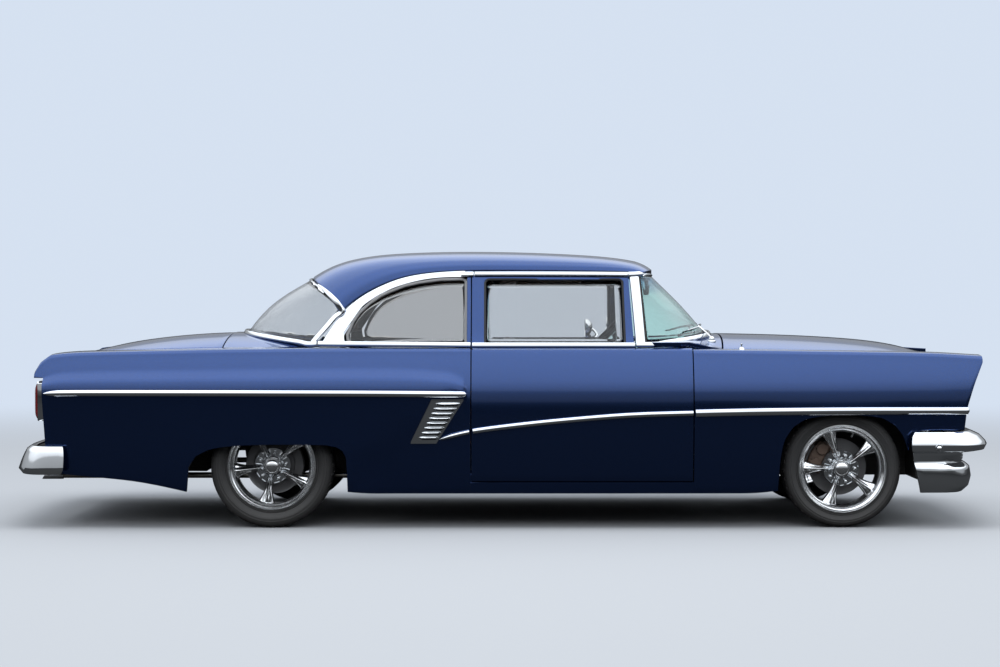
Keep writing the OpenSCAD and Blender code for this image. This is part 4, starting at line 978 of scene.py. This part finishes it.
for side, hand in HANDS:
    bm = bmesh.new()
    bmesh.ops.create_cube(bm, size=1)
    bmesh.ops.scale(bm, verts=bm.verts, vec=(0.070, 0.086, 0.192))
    bmesh.ops.subdivide_edges(bm, edges=edges_along(bm, 2, 0.1), cuts=47)
    bmesh.ops.subdivide_edges(bm, edges=edges_along(bm, 1, 0.05), cuts=7)
    for vert in bm.verts:
        if vert.co.x < 0:
            rise = 1 - (abs(vert.co.y) / 0.043) ** 3 * 0.35 - (abs(vert.co.z) / 0.096) ** 6 * 0.4
            vert.co.x = -0.035 * rise + (0.0016 if round((vert.co.z + 0.096) / 0.004) % 2 else 0)
    bmesh.ops.translate(bm, verts=bm.verts, vec=(-2.4660, side * TAIL_LAMP_Y, TAIL_LAMP_Z))
    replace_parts(soft_piece(bm, "tail_lens_" + hand, "body", red_lens, 35), "tail_lamps")
    bm = bmesh.new()
    bmesh.ops.create_cube(bm, size=1)
    bmesh.ops.scale(bm, verts=bm.verts, vec=(0.048, 0.106, 0.212))
    rounded(bm, edges_along(bm, 0, 0.01), 0.014, 4)
    faces = [f for f in bm.faces if abs(f.normal.x) > 0.9]
    for face in faces:
        bmesh.ops.inset_region(bm, faces=[face], thickness=0.0105)
    loops = [e for f in faces for e in f.edges]
    bmesh.ops.delete(bm, geom=faces, context="FACES_ONLY")
    bmesh.ops.bridge_loops(bm, edges=loops)
    rounded(bm, [e for e in bm.edges if e.calc_face_angle(0) > 1.0], 0.003, 2)
    bmesh.ops.translate(bm, verts=bm.verts, vec=(-2.4560, side * TAIL_LAMP_Y, TAIL_LAMP_Z))
    soft_piece(bm, "tail_bezel_" + hand, "body", chrome, 40)

# Bumper fittings. Bolts through the bumper's sides, round parking lamps in the shadow between its two bars,
# and a blank plate in the middle of the tail panel. All plated steel but for the lenses.
clear_lens = pane_of("clear_lens", (0.88, 0.86, 0.80))


def facing(point, normal, up="X"):
    """Where a piece that is drawn face up stands on a surface."""
    return Matrix.Translation(point) @ normal.to_track_quat("Z", up).to_matrix().to_4x4()


bolt = [(0.0, 0.012), (0.008, 0.0105), (0.0125, 0.006), (0.014, 0.003), (0.021, 0.0025), (0.022, 0.0), (0.0, 0.0)]
lamp_rim = [(0.016, -0.004), (0.025, -0.004), (0.026, 0.004), (0.0225, 0.008), (0.019, 0.006), (0.016, 0.004)]
lamp_lens = [(0.0, 0.0115), (0.007, 0.0105), (0.013, 0.0075), (0.0175, 0.003), (0.0175, -0.003), (0.0, -0.003)]
bumper_skin = skin_of("front_bumper")
for side, hand in HANDS:
    on_bumper = facing(*on_side(bumper_skin, 2.283, 0.428, side))
    turned_piece("bumper_bolt_" + hand, "body", chrome, bolt, 32, on_bumper)
    point, normal, _, _ = bumper_skin[0].ray_cast(Vector((3.0, side * 0.640, 0.373)), Vector((-1, 0, 0)))
    set_in = facing(point, normal)
    turned_piece("parking_lamp_ring_" + hand, "body", chrome, lamp_rim, 40, set_in)
    turned_piece("parking_lamp_lens_" + hand, "body", clear_lens, lamp_lens, 40, set_in, angle=60)
plate_white = finish_of("plate_enamel", (0.62, 0.63, 0.64), patch=0.1, spread=0.08, roughness=0.35, grain=0.004,
                        bump=0.0001, dusty=0.1)
bm = bmesh.new()
bmesh.ops.create_cube(bm, size=1)
bmesh.ops.scale(bm, verts=bm.verts, vec=(0.003, 0.305, 0.152))
rounded(bm, edges_along(bm, 0, 0.001), 0.012, 4)
back = [f for f in bm.faces if f.normal.x < -0.9]
bmesh.ops.inset_region(bm, faces=back, thickness=0.006)
bmesh.ops.inset_region(bm, faces=back, thickness=0.002, depth=-0.0012)
for y in (-0.089, 0.089):
    for z in (-0.060, 0.060):
        screw = bmesh.ops.create_uvsphere(bm, u_segments=16, v_segments=8, radius=0.007)["verts"]
        bmesh.ops.scale(bm, verts=screw, vec=(0.5, 1, 1))
        bmesh.ops.translate(bm, verts=screw, vec=(-0.0025, y, z))
bmesh.ops.translate(bm, verts=bm.verts, vec=(-2.4345, 0, 0.480))
soft_piece(bm, "blank_plate", "body", plate_white)

# Exhaust tips. Polished slash-cut ends of steel tube, pushed over the pipes under the rear bumper and clamped
# there.
for side, hand in HANDS:
    low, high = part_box("exhaust")
    bm = bmesh.new()
    turned(bm, [(0.0165, 0.0), (0.0195, 0.0), (0.0210, 0.004), (0.0215, 0.114), (0.0205, 0.117), (0.0190, 0.115),
                (0.0180, 0.110)], 48)
    for vert in bm.verts:
        if vert.co.z > 0.05:
            vert.co.z -= 0.7 * (0.0215 - vert.co.y)
    slid_on = Matrix.Translation((low[0] + 0.076, side * 0.54, 0.254))
    points_back = Matrix.Rotation(-math.pi / 2, 4, "Y") @ Matrix.Rotation(math.pi / 2, 4, "Z")
    soft_piece(bm, "exhaust_tip_" + hand, "body", polish, place=slid_on @ points_back)

# Seats. Front bench with a split back and a rear bench: brown leather over stuffed pads, each swollen by its
# filling and drawn in by sewn channels, on black trimmed bases bolted to the floor.
leather = finish_of("brown_leather", (0.105, 0.060, 0.042), patch=0.12, spread=0.35, roughness=0.46,
                    rough_spread=0.2, grain=0.0035, bump=0.0005)
base_vinyl = finish_of("base_vinyl", (0.020, 0.018, 0.017), roughness=0.55, grain=0.003, bump=0.0003)


def block(bm, size, middle, edge, segments=3):
    """A solid with rounded edges inside a larger bmesh."""
    verts = bmesh.ops.create_cube(bm, size=1)["verts"]
    bmesh.ops.scale(bm, verts=verts, vec=size)
    bmesh.ops.translate(bm, verts=verts, vec=middle)
    rounded(bm, list({e for v in verts for e in v.link_edges}), edge, segments)


def stuffed(name, place, size, cap, channel, stands):
    """A leather pad drawn lying down, sitter's face up; stands is the node it replaces."""
    bm = bmesh.new()
    block(bm, size, (0, 0, 0), min(size) * 0.32, 4)
    pad = piece_of(bm, name, "body", leather)
    cells = pad.modifiers.new("cells", "REMESH")
    cells.mode, cells.voxel_size = "VOXEL", 0.014
    mesh = bpy.data.meshes.new_from_object(pad.evaluated_get(bpy.context.evaluated_depsgraph_get()))
    pad.modifiers.clear()
    pad.data = mesh
    at_rest = [vert.co.copy() for vert in mesh.vertices]
    half = Vector(size) / 2
    moved = [Vector((0, 0, cap * max(0, 1 - (p.x / half.x) ** 2) * max(0, 1 - (p.y / half.y) ** 2)
                     * (1 if p.z > 0 else 0))) for p in at_rest]
    filling = pad.modifiers.new("filling", "CLOTH")
    filling.settings.use_pressure = True
    filling.settings.uniform_pressure_force = 4.0
    filling.settings.effector_weights.gravity = 0.0
    filling.settings.quality = 4
    filling.point_cache.frame_end = 20
    for frame_number in range(1, 21):
        scene.frame_set(frame_number)
    swollen = bpy.data.meshes.new_from_object(pad.evaluated_get(bpy.context.evaluated_depsgraph_get()))
    moved = [vert.co - rest for vert, rest in zip(swollen.vertices, at_rest)]
    pad.modifiers.clear()
    scene.frame_set(1)
    bm = bmesh.new()
    bm.from_mesh(mesh)
    for vert, rest, move in zip(bm.verts, at_rest, moved):
        vert.co = rest + move * min(1.0, cap / max(cap, move.length))
        vert.co.z = max(vert.co.z, -half.z)
    bmesh.ops.subdivide_edges(bm, edges=bm.edges[:], cuts=1, use_grid_fill=True, smooth=0.4)
    for vert in bm.verts:
        p = vert.co
        inside = min(half.y - 0.055 - abs(p.y), half.x - 0.050 - abs(p.x))
        if p.z > 0:
            seam = math.exp(-(inside / 0.007) ** 2) * 0.010
            if inside > 0:
                off = (p.y + channel / 2) % channel - channel / 2
                seam += 0.011 * math.exp(-(off / 0.0075) ** 2) * min(1, inside / 0.02)
            p.z -= seam
    bmesh.ops.transform(bm, matrix=place, verts=bm.verts)
    bmesh.ops.recalc_face_normals(bm, faces=bm.faces)
    bm.to_mesh(mesh)
    bm.free()
    mesh.materials.clear()
    mesh.materials.append(leather)
    for face in mesh.polygons:
        face.use_smooth = True
    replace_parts(pad, stands)


def laid(x, y, z, tip):
    """Where a pad lies, tipped back by an angle about the car's width."""
    return Matrix.Translation((x, y, z)) @ Matrix.Rotation(math.radians(tip), 4, "Y")


stuffed("front_cushion", laid(0.262, 0, 0.475, -4), (0.455, 1.25, 0.115), 0.022, 0.083, "front_seat")
for hand, y in (("left", 0.3165), ("right", -0.3165)):
    stuffed("front_back_" + hand, laid(0.004, y, 0.764, -80.5), (0.470, 0.610, 0.088), 0.018, 0.083, "front_seat")
stuffed("rear_cushion", laid(-0.955, 0, 0.551, 2), (0.400, 1.08, 0.075), 0.016, 0.083, "rear_seat")
stuffed("rear_back", laid(-1.322, 0, 0.742, -69), (0.360, 1.08, 0.100), 0.018, 0.083, "rear_seat")
bm = bmesh.new()
block(bm, (0.42, 1.22, 0.112), (0.250, 0, 0.358), 0.012)
block(bm, (0.46, 1.07, 0.012), (-0.965, 0, 0.507), 0.004)
for side in (-1, 1):
    block(bm, (0.045, 0.57, 0.49), (-0.036, side * 0.3165, 0.735), 0.014)
    back = [v for v in bm.verts if -0.2 < v.co.x < 0.01 and v.co.z > 0.45 and v.co.y * side > 0]
    bmesh.ops.rotate(bm, verts=back, cent=(-0.036, 0, 0.725), matrix=Matrix.Rotation(math.radians(-9.5), 3, "Y"))
soft_piece(bm, "seat_bases", "body", base_vinyl)

# Dashboard. One steel pressing painted with the body, with a chromed strip, three round dials before the driver,
# a row of knobs and a speaker panel. The dials have plain ticks and a pointer, no figures.
dress("dashboard", blue_lacquer)
dial_black = finish_of("dial_black", (0.010, 0.010, 0.011), roughness=0.3, grain=0.001, bump=0.00005)
dial_white = finish_of("dial_white", (0.70, 0.69, 0.62), patch=0.02, spread=0.1, roughness=0.4, grain=0.001,
                       bump=0.00005)
faces_back = Matrix.Rotation(math.radians(-90), 4, "Y")
for name, y, z, r in (("speed", 0.370, 0.880, 0.058), ("fuel", 0.505, 0.876, 0.036), ("heat", 0.235, 0.876, 0.036)):
    place = Matrix.Translation((0.771, y, z)) @ Matrix.Rotation(math.radians(8), 4, "Y") @ faces_back
    dial_rim = [(r - 0.002, -0.006), (r + 0.005, -0.006), (r + 0.007, 0.004), (r + 0.004, 0.010),
                (r - 0.001, 0.008), (r - 0.002, 0.004)]
    dial_face = [(0, 0.001), (r - 0.004, 0.001), (r - 0.001, 0.003), (r - 0.001, -0.005), (0, -0.005)]
    turned_piece("dial_rim_" + name, "body", chrome, dial_rim, 56, place)
    turned_piece("dial_face_" + name, "body", dial_black, dial_face, 56, place)
    last_tick = 20 if r > 0.05 else 8
    bm = bmesh.new()
    for k in range(last_tick + 1):
        tick = bmesh.ops.create_cube(bm, size=1)["verts"]
        bmesh.ops.scale(bm, verts=tick, vec=(0.008 if k % 2 else 0.012, 0.0014, 0.001))
        bmesh.ops.translate(bm, verts=tick, vec=(r * 0.82, 0, 0.0018))
        tipped(bm, tick, 225 - 270 * k / last_tick, "Z")
    hand_up = bmesh.ops.create_cone(bm, cap_ends=True, segments=6, radius1=0.0022, radius2=0.0006,
                                    depth=r * 0.85)["verts"]
    bmesh.ops.translate(bm, verts=hand_up, vec=(0, 0, r * 0.42))
    tipped(bm, hand_up, -90, "Y")
    tipped(bm, hand_up, 45, "Z")
    bmesh.ops.translate(bm, verts=hand_up, vec=(0, 0, 0.0045))
    soft_piece(bm, "dial_marks_" + name, "body", dial_white, place=place)
strip = [(Vector((0.7715, y, 0.832)), Vector((-1, 0, -0.1)).normalized()) for y in (-0.67, -0.3, 0, 0.3, 0.67)]
bm = bmesh.new()
for y in (-0.10, -0.04, 0.02, 0.08, 0.14):
    knob = turned(bm, [(0.0, 0.026), (0.009, 0.025), (0.011, 0.020), (0.0105, 0.010), (0.005, 0.008), (0.005, 0.0),
                       (0.0, 0.0)], 24)
    bmesh.ops.transform(bm, matrix=Matrix.Translation((0.779, y, 0.806)) @ faces_back, verts=knob)
soft_piece(bm, "dash_knobs", "body", chrome)
speaker_lean = Vector((-1, 0, 0.15)).normalized()
speaker = [moulding([(Vector((0.7705, y, z)), speaker_lean) for y in (-0.11, -0.04, 0.04, 0.11)], 0.006, 0.004)
           for z in (0.855, 0.867, 0.879, 0.891)]
trim_piece("dash_strip", "body", [moulding(strip, 0.016, 0.006)] + speaker)
glove = [(Vector((0.7725, y, z)), Vector((-1, 0, 0.1)).normalized()) for y, z in (
    (-0.60, 0.850), (-0.27, 0.850), (-0.26, 0.860), (-0.26, 0.890), (-0.27, 0.900), (-0.60, 0.900), (-0.61, 0.890),
    (-0.61, 0.860), (-0.60, 0.850))]
trim_piece("glove_box_edge", "body", [moulding(glove, 0.005, 0.004)], black_and_painted_shade)

# Steering wheel. A dark leather-wrapped rim on three drilled aluminium spokes, with a chromed horn button
# and a short column below it.
wheel_leather = finish_of("wheel_leather", (0.016, 0.015, 0.015), roughness=0.5, grain=0.002, bump=0.0003)
steer = Matrix.Translation((0.585, 0.370, 0.985)) @ Matrix.Rotation(math.radians(-45), 4, "Y")
bm = bmesh.new()
section = [(0.192 + 0.0135 * math.cos(a), 0.0150 * math.sin(a)) for a in (2 * math.pi * k / 16 for k in range(16))]
turned(bm, section, 96)
for vert in bm.verts:
    grip = 0.0012 * math.cos(24 * math.atan2(vert.co.y, vert.co.x))
    vert.co.z *= 1 + (grip * 40 if vert.co.z < 0 else 0)
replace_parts(soft_piece(bm, "steering_rim", "steering_wheel", wheel_leather, 60, place=steer), "steering_wheel")
bm = bmesh.new()
for vert in bmesh.ops.create_grid(bm, x_segments=14, y_segments=4, size=1)["verts"]:
    t = (vert.co.x + 1) / 2
    vert.co = (0.030 + 0.153 * t, vert.co.y * (0.020 - 0.008 * t + 0.014 * t ** 6), -0.022 + 0.022 * t ** 1.5)
bmesh.ops.solidify(bm, geom=bm.faces, thickness=0.006)
bmesh.ops.recalc_face_normals(bm, faces=bm.faces)
repeated(bm, 3)
turned(bm, [(0, -0.150), (0.022, -0.150), (0.022, -0.052), (0.036, -0.046), (0.044, -0.034), (0.045, -0.018),
            (0.038, -0.012), (0, -0.010)], 48)
soft_piece(bm, "steering_spokes", "steering_wheel", polish, 40, place=steer)
button = [(0, 0.006), (0.012, 0.005), (0.024, 0.001), (0.031, -0.006), (0.033, -0.013), (0, -0.013)]
turned_piece("horn_button", "steering_wheel", chrome, button, 48, steer, angle=50)

# Cabin trim. Door cards of leather-covered board with a chromed strip, crank and pull; a moulded board headliner;
# ribbed rubber mats; the inside mirror on its stalk from the windshield head.
headliner_grey = finish_of("headliner_board", (0.30, 0.29, 0.27), patch=0.3, spread=0.08, roughness=0.85,
                           grain=0.0025, bump=0.0006)
mat_rubber = finish_of("mat_rubber", (0.022, 0.021, 0.020), roughness=0.7, grain=0.004, bump=0.0004, dusty=0.1)
for side, hand in HANDS:
    door = skin_of("door_" + hand)
    body = "door_" + hand

    def inner_face(x, z):
        hit = door[0].ray_cast(Vector((x, 0, z)), Vector((0, side, 0)))
        return hit[0] if hit[0] is not None else Vector((x, side * 0.80, z))

    bm = bmesh.new()
    for vert in bmesh.ops.create_grid(bm, x_segments=64, y_segments=24, size=0.5)["verts"]:
        u, v = vert.co.x + 0.5, vert.co.y + 0.5
        x, z = -0.135 + 1.085 * u, 0.300 + 0.590 * v
        pleat = 0.004 * abs(math.sin(math.pi * 13 * u)) ** 0.5 if 0.30 < v < 0.86 else 0.0
        vert.co = inner_face(x, z) + Vector((0, -side * (0.0015 + pleat), 0))
    bmesh.ops.recalc_face_normals(bm, faces=bm.faces)
    faces_in = bm.faces[:]
    grown = bmesh.ops.extrude_face_region(bm, geom=faces_in)["geom"]
    bmesh.ops.translate(bm, verts=verts_in(grown), vec=(0, -side * 0.006, 0))
    soft_piece(bm, "door_card_" + hand, body, leather, 50)
    lines = []
    for z in (0.470, 0.820):
        lines.append(moulding([(inner_face(x, z) + Vector((0, -side * 0.008, 0)), Vector((0, -side, 0)))
                               for x in (-0.125, 0.1, 0.3, 0.5, 0.7, 0.94)], 0.012, 0.006))
    trim_piece("door_card_strips_" + hand, body, lines)
    bm = bmesh.new()
    at_crank = inner_face(0.62, 0.66) + Vector((0, -side * 0.010, 0))
    turned(bm, [(0.0, 0.022), (0.012, 0.020), (0.016, 0.010), (0.026, 0.004), (0.028, 0.0), (0.0, 0.0)], 32)
    block(bm, (0.016, 0.105, 0.008), (0, 0.050, 0.018), 0.003, 2)
    grip = turned(bm, [(0.0, 0.040), (0.010, 0.038), (0.011, 0.026), (0.007, 0.020), (0.0, 0.020)], 24)
    bmesh.ops.translate(bm, verts=grip, vec=(0, 0.095, 0))
    soft_piece(bm, "window_crank_" + hand, body, chrome, place=facing(at_crank, Vector((0, -side, 0)), "Y"))
    bm = bmesh.new()
    rest = inner_face(0.22, 0.62) + Vector((0, -side * 0.030, 0))
    block(bm, (0.30, 0.052, 0.050), rest, 0.018, 4)
    soft_piece(bm, "armrest_" + hand, body, base_vinyl)
roof_skin = skin_of("roof")
bm = bmesh.new()
for vert in bmesh.ops.create_grid(bm, x_segments=48, y_segments=28, size=0.5)["verts"]:
    x, y = -0.86 + 1.56 * (vert.co.x + 0.5), 1.10 * vert.co.y
    hit = roof_skin[0].ray_cast(Vector((x, y, 1.0)), Vector((0, 0, 1)))
    bow = 0.004 * math.exp(-(((x + 0.86) % 0.26 - 0.13) / 0.008) ** 2)
    vert.co = (x, y, (hit[0].z if hit[0] is not None else 1.33) - 0.006 + bow)
bmesh.ops.recalc_face_normals(bm, faces=bm.faces)
bmesh.ops.solidify(bm, geom=bm.faces, thickness=0.003)
soft_piece(bm, "headliner", "body", headliner_grey, 60)
bm = bmesh.new()
for x, y, length, wide in ((0.74, 0.36, 0.44, 0.50), (0.74, -0.36, 0.44, 0.50), (-0.38, 0.34, 0.50, 0.54),
                           (-0.38, -0.34, 0.50, 0.54)):
    block(bm, (length, wide, 0.006), (x, y, 0.3035), 0.0025, 2)
    for k in range(9):
        block(bm, (length - 0.06, 0.010, 0.004), (x, y - wide / 2 + wide * (k + 1) / 10, 0.3080), 0.0018, 1)
soft_piece(bm, "floor_mats", "body", mat_rubber)
bm = bmesh.new()
block(bm, (0.022, 0.215, 0.058), (0.815, 0, 1.268), 0.009, 4)
block(bm, (0.012, 0.016, 0.085), (0.824, 0, 1.318), 0.004, 2)
soft_piece(bm, "inside_mirror", "body", black_and_painted_shade)
bm = bmesh.new()
block(bm, (0.003, 0.203, 0.047), (0.8035, 0, 1.268), 0.0012, 2)
soft_piece(bm, "inside_mirror_glass", "body", chrome)

# Cabin sides and pedals. Leather-covered boards screwed to the quarters beside the rear bench, painted rails along
# the door tops, cloth visors on rods, and rubber pedals on forged arms from the firewall.
bm = bmesh.new()
for side in (-1, 1):
    block(bm, (0.575, 0.012, 0.636), (-0.470, side * 0.700, 0.622), 0.004, 2)
    block(bm, (0.012, 0.128, 0.430), (-0.751, side * 0.640, 0.722), 0.004, 2)
    block(bm, (0.640, 0.005, 0.390), (-1.072, side * 0.5715, 0.715), 0.002, 2)
    for k in range(12):
        block(bm, (0.036, 0.010, 0.340), (-0.712 + 0.044 * k, side * 0.692, 0.640), 0.0045, 3)
soft_piece(bm, "quarter_boards", "body", leather, 50)
for side, hand in HANDS:
    bm = bmesh.new()
    block(bm, (0.765, 0.030, 0.060), (0.268, side * 0.741, 0.951), 0.010, 4)
    soft_piece(bm, "door_top_rail_" + hand, "door_" + hand, base_vinyl, 50)
bm = bmesh.new()
for side in (-1, 1):
    block(bm, (0.150, 0.400, 0.016), (0.610, side * 0.300, 1.345), 0.007, 4)
    rod = turned(bm, [(0.0, -0.21), (0.005, -0.21), (0.005, 0.21), (0.0, 0.21)], 16)
    tipped(bm, rod, 90, "X")
    bmesh.ops.translate(bm, verts=rod, vec=(0.688, side * 0.300, 1.349))
soft_piece(bm, "sun_visors", "body", headliner_grey, 50)
bm = bmesh.new()
for y, wide, tall, z in ((0.370, 0.105, 0.060, 0.430), (0.225, 0.055, 0.170, 0.395)):
    pedal = set(bm.verts)
    block(bm, (0.016, wide, tall), (0, 0, 0), 0.005, 3)
    for k in range(5):
        block(bm, (0.005, wide * 0.86, tall * 0.07), (-0.009, 0, tall * (k - 2) * 0.18), 0.002, 2)
    pedal = [v for v in bm.verts if v not in pedal]
    tipped(bm, pedal, 32, "Y")
    bmesh.ops.translate(bm, verts=pedal, vec=(0.900, y, z))
    pedal_arm = [(0.908, y, z), (0.965, y, z + 0.040), (1.010, y, z + 0.150), (1.066, y, z + 0.260)]
    arm_seats = [(point, Vector((-0.6, 0, 0.8))) for point in smooth_line(pedal_arm, 14)]
    outline_drawn(bm, moulding(arm_seats, 0.018, 0.012))
soft_piece(bm, "pedals", "body", mat_rubber, 45)

# Trunk lining. A ribbed rubber mat cut to the trunk floor, and boards standing along its sides between the
# wheel wells and the tail panel.
bm = bmesh.new()
for side in (-1, 1):
    block(bm, (0.575, 0.008, 0.368), (-2.072, side * 0.584, 0.6846), 0.003, 2)
    block(bm, (0.480, 0.004, 0.270), (-2.072, side * 0.580, 0.6850), 0.0015, 2)
block(bm, (0.930, 1.130, 0.006), (-1.925, 0, 0.5036), 0.002, 2)
for k in range(13):
    block(bm, (0.880, 0.014, 0.005), (-1.925, (k - 6) * 0.086, 0.5085), 0.002, 2)
soft_piece(bm, "trunk_lining", "body", mat_rubber)

# Wipers. Chromed domes through the cowl carry spring arms, and each arm holds a black rubber blade in a bright
# back, parked low on the windshield.
cowl_skin = skin_of("cowl")
wiper_dome = [(0.0, 0.030), (0.008, 0.029), (0.014, 0.024), (0.016, 0.016), (0.016, 0.010), (0.021, 0.008),
              (0.023, 0.003), (0.023, -0.006), (0.0, -0.006)]
for side, hand in HANDS:
    blade = []
    for k in range(15):
        y = side * (0.100 + 0.460 * k / 14)
        point, normal, _, _ = front_pane.ray_cast(Vector((2, y, 1.064 - 0.11 * y * y)), Vector((-1, 0, 0)))
        blade.append((point, normal if normal.x > 0 else -normal))
    trim_piece("wiper_blade_" + hand, "body", [moulding(lifted(blade, 0.006), 0.006, 0.011)], black_and_painted_shade)
    foot = cowl_skin[0].ray_cast(Vector((1.134, side * 0.50, 1.3)), Vector((0, 0, -1)))[0]
    hold = lifted(blade, 0.018)[7]
    elbow = foot.lerp(hold[0], 0.45) + Vector((0.004, 0, 0.010))
    arm = smooth_line([foot + Vector((0, 0, 0.020)), elbow, hold[0]], 16)
    strips = [moulding(lifted(blade, 0.015)[1:-1], 0.009, 0.006, 0.2, 0.2),
              moulding([(point, Vector((0.6, 0, 0.8))) for point in arm], 0.010, 0.005)]
    trim_piece("wiper_arm_" + hand, "body", strips)
    turned_piece("wiper_dome_" + hand, "body", chrome, wiper_dome, 32, Matrix.Translation(foot), angle=60)

# Mirror and antenna. A round chromed mirror on a stalk screwed to the driver's door, and the chromed stub of the
# lowered antenna on the right fender.
bm = bmesh.new()
turned(bm, [(0.0, 0.040), (0.018, 0.038), (0.036, 0.029), (0.048, 0.015), (0.053, 0.002), (0.053, -0.003),
            (0.050, -0.005), (0.049, -0.003), (0.0, -0.002)], 56)
faces_ahead = Matrix.Rotation(math.radians(90), 4, "Y")
bmesh.ops.recalc_face_normals(bm, faces=bm.faces)
bmesh.ops.transform(bm, matrix=Matrix.Translation((0.505, 0.905, 1.040)) @ faces_ahead, verts=bm.verts)
door_top = near(skin_of("door_left"), (0.580, 0.850, 0.950))[0]
stalk = smooth_line([door_top - Vector((0, 0.004, 0.004)), door_top + Vector((0, 0.020, 0.030)),
                     (0.560, 0.900, 1.015), (0.530, 0.905, 1.036)], 18)
outline_drawn(bm, moulding([(point, Vector((0.7, 0.5, 0.5))) for point in stalk], 0.014, 0.010))
foot_pad = turned(bm, [(0.0, 0.010), (0.012, 0.009), (0.020, 0.004), (0.021, -0.004), (0.0, -0.004)], 32)
bmesh.ops.translate(bm, verts=foot_pad, vec=door_top)
soft_piece(bm, "door_mirror", "door_left", chrome, 50)
stub = [(0.0, 0.032), (0.004, 0.031), (0.0055, 0.027), (0.004, 0.023), (0.0035, 0.014), (0.010, 0.010),
        (0.015, 0.005), (0.017, -0.003), (0.0, -0.003)]
on_fender = near(skin_of("fender_right"), (1.263, -0.800, 0.955))[0]
turned_piece("antenna_stub", "body", chrome, stub, 32, Matrix.Translation(on_fender), angle=50)

# Under the hood. Ribbed alloy covers on both heads, a chromed round air cleaner over the intake, cast manifolds, a
# brass radiator painted black with its fan, the battery on a tray, and aprons that close the bay to the fenders.
bm = bmesh.new()
for side in (-1, 1):
    block(bm, (1.112, 0.2335, 0.006), (1.640, side * 0.5722, 0.8034), 0.002, 2)
    for k in range(4):
        block(bm, (0.200, 0.150, 0.006), (1.230 + 0.270 * k, side * 0.575, 0.8075), 0.0025, 2)
soft_piece(bm, "fender_aprons", "body", black_and_painted_shade)
bm = bmesh.new()
for side in (-1, 1):
    block(bm, (0.620, 0.150, 0.050), (1.540, side * 0.165, 0.7856), 0.016, 4)
    for k in range(5):
        block(bm, (0.540, 0.008, 0.010), (1.540, side * 0.165 + (k - 2) * 0.019, 0.812), 0.003, 2)
    cap = turned(bm, [(0.0, 0.026), (0.018, 0.026), (0.022, 0.021), (0.022, 0.0), (0.0, 0.0)], 24)
    bmesh.ops.translate(bm, verts=cap, vec=(1.785, side * 0.165, 0.8105))
soft_piece(bm, "valve_covers", "body", polish)
bm = bmesh.new()
turned(bm, [(0.0, 0.8203), (0.055, 0.8203), (0.058, 0.845), (0.150, 0.850), (0.184, 0.860), (0.185, 0.866),
            (0.176, 0.870), (0.176, 0.899), (0.186, 0.904), (0.186, 0.911), (0.150, 0.919), (0.030, 0.922),
            (0.0, 0.922)], 72)
block(bm, (0.044, 0.006, 0.018), (0, 0, 0.931), 0.0025, 2)
soft_piece(bm, "air_cleaner", "body", chrome, place=Matrix.Translation((1.540, 0, 0)))
manifold_iron = finish_of("manifold_iron", (0.060, 0.055, 0.050), patch=0.04, spread=0.4, roughness=0.75,
                          grain=0.004, bump=0.0005)
bm = bmesh.new()
for side in (-1, 1):
    block(bm, (0.580, 0.050, 0.052), (1.540, side * 0.320, 0.600), 0.020, 4)
    for k in range(4):
        block(bm, (0.050, 0.060, 0.048), (1.315 + 0.150 * k, side * 0.2895, 0.628), 0.014, 3)
soft_piece(bm, "manifolds", "body", manifold_iron)
bm = bmesh.new()
block(bm, (0.070, 0.690, 0.044), (2.180, 0, 0.806), 0.016, 4)
block(bm, (0.070, 0.690, 0.040), (2.180, 0, 0.400), 0.014, 4)
for side in (-1, 1):
    block(bm, (0.084, 0.012, 0.420), (2.189, side * 0.341, 0.603), 0.003, 2)
for k in range(40):
    block(bm, (0.044, 0.0025, 0.372), (2.180, (k - 19.5) * 0.0168, 0.603), 0.0008, 1)
filler = turned(bm, [(0.0, 0.016), (0.022, 0.016), (0.026, 0.012), (0.026, 0.004), (0.018, 0.0), (0.0, 0.0)], 32)
bmesh.ops.translate(bm, verts=filler, vec=(2.180, 0, 0.8275))
soft_piece(bm, "radiator", "body", black_and_painted_shade)
bm = bmesh.new()
for vert in bmesh.ops.create_grid(bm, x_segments=8, y_segments=4, size=1)["verts"]:
    t = (vert.co.x + 1) / 2
    twist = math.radians(34 - 12 * t)
    chord = vert.co.y * (0.030 + 0.022 * t)
    vert.co = (0.045 + 0.145 * t, chord * math.cos(twist), chord * math.sin(twist))
bmesh.ops.recalc_face_normals(bm, faces=bm.faces)
bmesh.ops.solidify(bm, geom=bm.faces, thickness=0.003)
repeated(bm, 6)
turned(bm, [(0.0, 0.018), (0.030, 0.018), (0.050, 0.008), (0.052, -0.008), (0.046, -0.012), (0.070, -0.018),
            (0.074, -0.024), (0.062, -0.032), (0.074, -0.040), (0.070, -0.046), (0.024, -0.050), (0.024, -0.078),
            (0.0, -0.078)], 48)
soft_piece(bm, "cooling_fan", "body", polish, place=Matrix.Translation((1.977, 0, 0.520)) @ faces_ahead)
bm = bmesh.new()
block(bm, (0.210, 0.158, 0.012), (1.260, -0.3725, 0.575), 0.003, 2)
block(bm, (0.175, 0.128, 0.165), (1.260, -0.3700, 0.664), 0.008, 3)
block(bm, (0.165, 0.118, 0.014), (1.260, -0.3700, 0.7525), 0.004, 2)
for x in (1.195, 1.325):
    post = turned(bm, [(0.0, 0.022), (0.008, 0.022), (0.0095, 0.0), (0.0, 0.0)], 20)
    bmesh.ops.translate(bm, verts=post, vec=(x, -0.3400, 0.7590))
soft_piece(bm, "battery", "body", base_vinyl)
